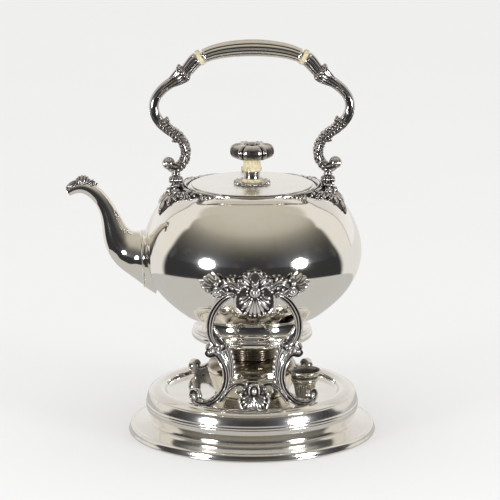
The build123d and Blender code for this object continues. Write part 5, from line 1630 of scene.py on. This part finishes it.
line_t = np.gradient(line[:, :2], axis=0)
line_t /= np.linalg.norm(line_t, axis=1)[:, None]
line_s = np.concatenate([[0.0], np.cumsum(np.linalg.norm(np.diff(line[:, :2], axis=0), axis=1))])


def on_spout(s, ang, n):
    """Angle 0 is the top of the spout, 90 degrees its -Y side."""
    s, ang, n = np.broadcast_arrays(np.asarray(s, float), np.asarray(ang, float), np.asarray(n, float))
    x, z, h, w = (np.interp(s, line_s, line[:, k]) for k in range(4))
    tx, tz = np.interp(s, line_s, line_t[:, 0]), np.interp(s, line_s, line_t[:, 1])
    ex, ez = -tz * -1, -tx
    # the section's own upward direction: square to the line, pointing up or out
    ux, uz = tz, -tx
    hh, ww = (h + n) * np.cos(ang), (w + n) * np.sin(ang)
    return np.stack([x + hh * ux, -ww, z + hh * uz], axis=-1)


body_r = lambda z: np.interp(z, skin[:, 1], skin[:, 0])
COLS = 128
angs = np.arange(COLS) * 2 * PI / COLS


def meets_body(depth, extra=None):
    """Per angle, the length at which the spout's skin comes out of the body."""
    S = np.linspace(0, 45, 700)
    P = on_spout(S[:, None], angs[None, :], 0.0 if extra is None else extra)
    out = np.hypot(P[..., 0], P[..., 1]) > body_r(P[..., 2]) - depth
    return S[np.argmax(out, axis=0)]


start = meets_body(0.7)
M = 200
u = np.linspace(0, 1, M)[:, None]
S_out = start[None, :] + (line_s[-1] - start[None, :]) * u
outer = on_spout(S_out, angs[None, :], 0.0)
wall_t = np.interp(u, [0, 0.93, 1.0], [1.3, 1.2, 0.9])
rim_n = np.array([0.0, -0.12, -0.45, -0.78, -0.9])[:, None]
rim_ds = np.array([0.25, 0.42, 0.5, 0.42, 0.25])[:, None]
lip_tx, lip_tz = line_t[-1]
end_ring = on_spout(np.full((5, COLS), line_s[-1]), np.broadcast_to(angs, (5, COLS)), rim_n) + rim_ds[..., None] * np.array([lip_tx, 0.0, lip_tz])
inner_g = on_spout(S_out[::-2], angs[None, :], -wall_t[::-2])
g = Geo()
# painted shade inside the spout's bore, fading in over the inner edge of the lip
spout_bore_shade = np.concatenate([np.zeros(len(outer)), [0.0, 0.0, 0.1, 0.3, 0.5], np.full(len(inner_g), 1.0)])[:, None]
g.grid(np.concatenate([outer, end_ring, inner_g], axis=0), wrap_u=True, wrap_v=True, shade_and_tarnish=spout_bore_shade)
make(g, "spout_pipe", BODY_SILVER2, "kettle", ["spout"], sharp=50, cav=True, reach=6.0, rays=8)

# opening in the body under the spout
g = Geo()
bore_s = np.linspace(0.0, 26.0, 30)[:, None]
g.grid(on_spout(bore_s, angs[None, ::2], -1.3), wrap_v=True, caps=True)
cut(kettle, loose(g, "bore"))

# collar: a thin bead, a hollow, then a flare on to the body
S_try = np.linspace(0, 45, 900)
front_x = on_spout(S_try[:, None], angs[None, :], 1.0)[..., 0]
S_FRONT = S_try[np.argmax(front_x < -88.4 - 0.8 * np.cos(angs)[None, :], axis=0)]
end_c = meets_body(0.35, 1.6)
v = np.linspace(0, 1, 40)[:, None]
S_c = S_FRONT[None, :] + (end_c - S_FRONT)[None, :] * v
d_c = S_FRONT[None, :] - S_c
off = 0.25 + 1.0 * np.exp(-(((d_c - 0.9) / 0.62) ** 2)) + 0.32 * step(d_c, 1.6, 2.6) + 1.2 * v**2.2 * np.minimum(1.0, (S_FRONT - end_c)[None, :] / 3.0)
g = Geo()
under = on_spout(S_c[::-3], angs[None, :], -0.25)
g.grid(np.concatenate([on_spout(S_c, angs[None, :], off), under], axis=0), wrap_u=True, wrap_v=True)
make(g, "spout_ring", BODY_SILVER2, "kettle", ["spout_collar"], sharp=50, cav=True, reach=2.0, rays=8)

# shell and leaves over the mouth
g = Geo()
RIB = dome_section(1.0, -1.4, 9)


def on_tip(s, c, n):
    """c mm round the spout from its top."""
    r = np.interp(s, line_s, line[:, 2])
    return on_spout(s, np.asarray(c, float) / r, n)


s_at = lambda x: float(np.interp(-x, -line[:, 0], line_s)) if x > -133 else float(line_s[np.argmin(np.abs(line[:, 0] - x))])
s0 = s_at(-135.6)
# scallop: upright ribs side by side across the spout
petal(g, on_tip, (s0 - 4.2, 0), (s0 + 4.4, 0), 4.2, 4.3, fat=0.52, back=-1.0, vein=0.0, m=24)
for k, tall in enumerate((2.9, 4.4, 5.2, 5.3, 4.6, 3.1)):
    sx_ = s0 - 3.3 + 1.36 * k
    half = 2.2 + 0.52 * tall
    sweep(g, on_tip, [(sx_, -half), (sx_ - 0.2, -half * 0.6), (sx_ - 0.3, 0), (sx_ - 0.2, half * 0.6), (sx_, half)], 0.86, RIB, rise=[0.6, 0.75 * tall, tall, 0.75 * tall, 0.6], gap=0.4)
# leaf along the nose
NOSE = 12.2
for k in range(5):
    a = (k - 2) / 2.0
    petal(g, on_tip, (s0 + 3.0, a * 3.0), (s0 + NOSE - 1.6 * abs(a), a * 2.6), 1.15, 1.9 - 0.5 * abs(a), fat=0.34, back=-0.8, lift=0.25, vein=0.5, m=20)
for k in range(4):
    for sgn in (-1, 1):
        petal(g, on_tip, (s0 + 4.0 + 2.0 * k, sgn * 2.6), (s0 + 6.4 + 2.0 * k, sgn * (5.2 - 0.5 * k)), 0.85, 1.3, bend=-0.15 * sgn, fat=0.55, back=-0.8, lift=0.1, vein=0.4)
# curls behind the scallop
for k in range(3):
    a = k - 1.0
    petal(g, on_tip, (s0 - 3.6, a * 2.4), (s0 - 9.0 + 1.4 * abs(a), a * 4.0), 1.2, 2.3 - 0.8 * abs(a), fat=0.5, back=-1.0, lift=0.1, vein=0.6)
bead(g, on_tip, s0 - 5.4, 0, 1.1, 2.1)
bead(g, on_tip, s0 - 8.6, 0, 1.0, 1.2)
for sc_ in (-1, 1):
    bead(g, on_tip, s0 - 5.4, sc_ * 3.9, 0.9, 0.9, k=9)
make(g, "spout_shell", TIP_SILVER, "kettle", ["spout_leaf"], sharp=55, cav=True, reach=1.6, rays=10)


# ---------------------------------------------------------------------------
# Whatever CAD node still shows gets its own finish
# ---------------------------------------------------------------------------
KEPT = {
    "burner_wick_tube": BRASS,
    "burner_wick": COTTON,
    "lid_knob_stud": STEEL,
    "lid_knob_nut": BRASS,
    "handle_dowels": STEEL,
    "lid_hinge_pin": STEEL,
    "handle_pin_left": STEEL,
    "handle_pin_right": STEEL,
    "pivot_screw_front": STEEL,
    "pivot_screw_back": STEEL,
    "bracket_screws": STEEL,
}
for node_name, node_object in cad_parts.items():
    finish = KEPT.get(node_name, PLAIN_SILVER)
    node_object.data.materials.clear()
    node_object.data.materials.append(finish)

# ---------------------------------------------------------------------------
# Studio: a pale table, a white sheet behind, pale walls at the sides, the open
# room behind the camera and two round soft boxes
# ---------------------------------------------------------------------------
scene = bpy.context.scene
scene.view_settings.view_transform = "Standard"
scene.view_settings.look = "None"

world = bpy.data.worlds.new("studio")
scene.world = world
world.use_nodes = True
t = Tree(world.node_tree)
background = world.node_tree.nodes["Background"]
way = t.node("ShaderNodeTexCoord").outputs["Generated"]
sep = t.node("ShaderNodeSeparateXYZ")
t.link(way, sep.inputs[0])
wx, wy, wz = sep.outputs
deg = 180.0 / PI
az = t.math("MULTIPLY", t.math("ABSOLUTE", t.math("ARCTAN2", wx, t.math("MULTIPLY", wy, -1.0))), deg)
el = t.math("MULTIPLY", t.math("ARCSINE", wz), deg)
ramp = t.node("ShaderNodeValToRGB")
t.link(t.ramp(el, -10.0, 90.0, smooth=False), ramp.inputs[0])
ramp.color_ramp.interpolation = "B_SPLINE"
stops = [(-10, 0.030, 0.030, 0.033), (8, 0.036, 0.036, 0.038), (18, 0.058, 0.055, 0.050), (26, 0.118, 0.110, 0.092), (33, 0.205, 0.19, 0.158),
         (39, 0.31, 0.285, 0.235), (45, 0.43, 0.40, 0.335), (53, 0.495, 0.46, 0.39), (66, 0.53, 0.495, 0.42), (90, 0.56, 0.52, 0.45)]
cr = ramp.color_ramp
for e, r_, g_, b_ in stops[1:-1]:
    el_new = cr.elements.new((e + 10) / 100.0)
    el_new.color = (r_, g_, b_, 1.0)
cr.elements[0].color = (*stops[0][1:], 1.0)
cr.elements[-1].position = 1.0
cr.elements[-1].color = (*stops[-1][1:], 1.0)
room = ramp.outputs[0]


def broken_line(x, points):
    """Straight runs through the points of (x, y)."""
    y = points[0][1]
    for (x0, y0), (x1, y1) in zip(points, points[1:]):
        y = t.math("ADD", t.ramp(x, x0, x1, 0.0, y1 - y0, smooth=False), y)
    return y


# clutter of the open room: a few dim upright shapes
dim = t.noise(t.combine(t.math("MULTIPLY", az, 0.09), t.math("MULTIPLY", el, 0.05), 0.0), 1.0, 2.0, 0.5)
room = t.mix(t.math("MULTIPLY", t.ramp(dim, 0.52, 0.7), t.ramp(el, 38.0, 20.0, 0.0, 0.45)), room, rgb(0.115, 0.11, 0.093))
# spill round the two soft boxes
da = t.math("MULTIPLY", t.math("SUBTRACT", az, 48.0), 1 / 22.0)
de = t.math("MULTIPLY", t.math("SUBTRACT", el, 2.0), 1 / 22.0)
spill = t.math("EXPONENT", t.math("MULTIPLY", t.math("ADD", t.math("MULTIPLY", da, da), t.math("MULTIPLY", de, de)), -1.0))
lit = t.node("ShaderNodeMix", data_type="RGBA", blend_type="ADD")
t.put(lit.inputs[0], spill)
t.put(lit.inputs[6], room)
t.put(lit.inputs[7], rgb(0.085, 0.088, 0.102))
room = lit.outputs[2]
# pale side walls under the ceiling, then the curved white sheet behind with a dark line round it
side = t.ramp(t.math("SUBTRACT", az, broken_line(el, [(-5, 104), (12, 97), (28, 93), (34, 90), (46, 98), (55, 97)])), -3.0, 3.0)
upper = t.ramp(t.math("SUBTRACT", el, broken_line(az, [(100, 50), (131, 57), (142, 61), (155, 52), (169, 45)])), -4.0, 4.0)
pale = t.mix(upper, rgb(0.786, 0.75, 0.69), rgb(0.551, 0.511, 0.43))
walls = t.mix(side, room, pale)
across = t.math("MAXIMUM", t.math("SUBTRACT", az, 120.3), 0.01)
under = t.math("MAXIMUM", t.math("SUBTRACT", 50.0, el), 0.01)
inside = t.math("DIVIDE", t.math("MULTIPLY", across, under), t.math("ADD", across, under))
sheet_tone = t.mix(t.ramp(el, 4.0, 34.0), rgb(0.86, 0.845, 0.825), rgb(0.70, 0.67, 0.64))
walls = t.mix(t.ramp(inside, 5.25, 5.75), walls, sheet_tone)
edge = t.math("MULTIPLY", t.math("MULTIPLY", t.ramp(inside, 4.85, 5.1), t.ramp(inside, 5.75, 5.5)), t.ramp(az, 168.0, 150.0))
walls = t.mix(edge, walls, rgb(0.20, 0.185, 0.17))
path = t.node("ShaderNodeLightPath")
plain = rgb(1.0, 0.995, 0.985)
seen = t.mix(path.outputs["Is Glossy Ray"], plain, walls)
seen = t.mix(path.outputs["Is Camera Ray"], seen, rgb(0.871, 0.871, 0.871))
t.link(seen, background.inputs["Color"])
background.inputs["Strength"].default_value = 1.0


def stage_disc(name, radius, z, material_, hole=0.0):
    me = bpy.data.meshes.new(name)
    n = 128
    ring = [(radius * math.cos(2 * PI * k / n), radius * math.sin(2 * PI * k / n), z) for k in range(n)]
    if hole:
        inner = [(hole * math.cos(2 * PI * k / n), hole * math.sin(2 * PI * k / n), z) for k in range(n)]
        me.from_pydata(ring + inner, [], [(k, (k + 1) % n, n + (k + 1) % n, n + k) for k in range(n)])
    else:
        me.from_pydata(ring, [], [tuple(range(n))])
    me.materials.append(material_)
    ob = bpy.data.objects.new(name, me)
    scene.collection.objects.link(ob)
    return ob


def floor_material(name, tone):
    m, t_, b, place = material(name)
    cloud = t_.noise(place, 3.0, 2.0, 0.5)
    t_.link(t_.mix(t_.ramp(cloud, 0.3, 0.7), rgb(*tone), rgb(*(c * 0.992 for c in tone))), b.inputs["Base Color"])
    b.inputs["Roughness"].default_value = 0.9
    b.inputs["Specular IOR Level"].default_value = 0.0
    return m


floor = stage_disc("floor", 9.0, -0.0002, floor_material("floor_pale", (0.862, 0.862, 0.864)))
floor.visible_glossy = False
# a darker, shaded copy of the floor that only reflections see: painted shade on the table round the kettle
table_top = stage_disc("table_top", 0.36, -0.0002, floor_material("table_shaded", (0.62, 0.61, 0.585)))
table_top.visible_camera = table_top.visible_diffuse = table_top.visible_shadow = False
dark_m, dt_, db_, dp_ = material("beyond_table")
dsep = dt_.node("ShaderNodeSeparateXYZ")
dt_.link(dp_, dsep.inputs[0])
round_ = dt_.math("MULTIPLY", dt_.math("ABSOLUTE", dt_.math("ARCTAN2", dsep.outputs[0], dt_.math("MULTIPLY", dsep.outputs[1], -1.0))), deg)
open_side = dt_.mix(dt_.noise(dp_, 3.0), rgb(0.030, 0.030, 0.032), rgb(0.038, 0.037, 0.037))
dt_.link(dt_.mix(dt_.ramp(round_, 98.0, 106.0), open_side, rgb(0.76, 0.74, 0.71)), db_.inputs["Emission Color"])
db_.inputs["Emission Strength"].default_value = 1.0
db_.inputs["Base Color"].default_value = rgb(0.0, 0.0, 0.0)
db_.inputs["Specular IOR Level"].default_value = 0.0
beyond = stage_disc("beyond_table", 9.0, -0.0004, dark_m, hole=0.36)
beyond.visible_camera = beyond.visible_diffuse = beyond.visible_shadow = False

for side_x in (-1, 1):
    light = bpy.data.lights.new("soft_box", "AREA")
    light.shape = "DISK"
    light.size = 0.43
    light.energy = 11.5
    light.color = (0.97, 0.98, 1.0)
    lamp = bpy.data.objects.new("soft_box", light)
    lamp.location = (side_x * 1.20, -1.08, 0.20)
    lamp.rotation_euler = (Vector((0, 0, 0.15)) - Vector(lamp.location)).to_track_quat("-Z", "Y").to_euler()
    lamp.visible_camera = False
    scene.collection.objects.link(lamp)

camera_data = bpy.data.cameras.new("camera")
camera_data.lens = 230.4
camera_data.sensor_width = 36.0
camera_data.shift_x = -0.004
camera_data.clip_start, camera_data.clip_end = 0.05, 50.0
camera = bpy.data.objects.new("camera", camera_data)
camera.location = (-0.06557, -2.50384, 0.7275)
camera.rotation_euler = (math.radians(90 - 13.025), 0.0, math.radians(-1.5))
scene.collection.objects.link(camera)
scene.camera = camera

bpy.context.view_layer.update()
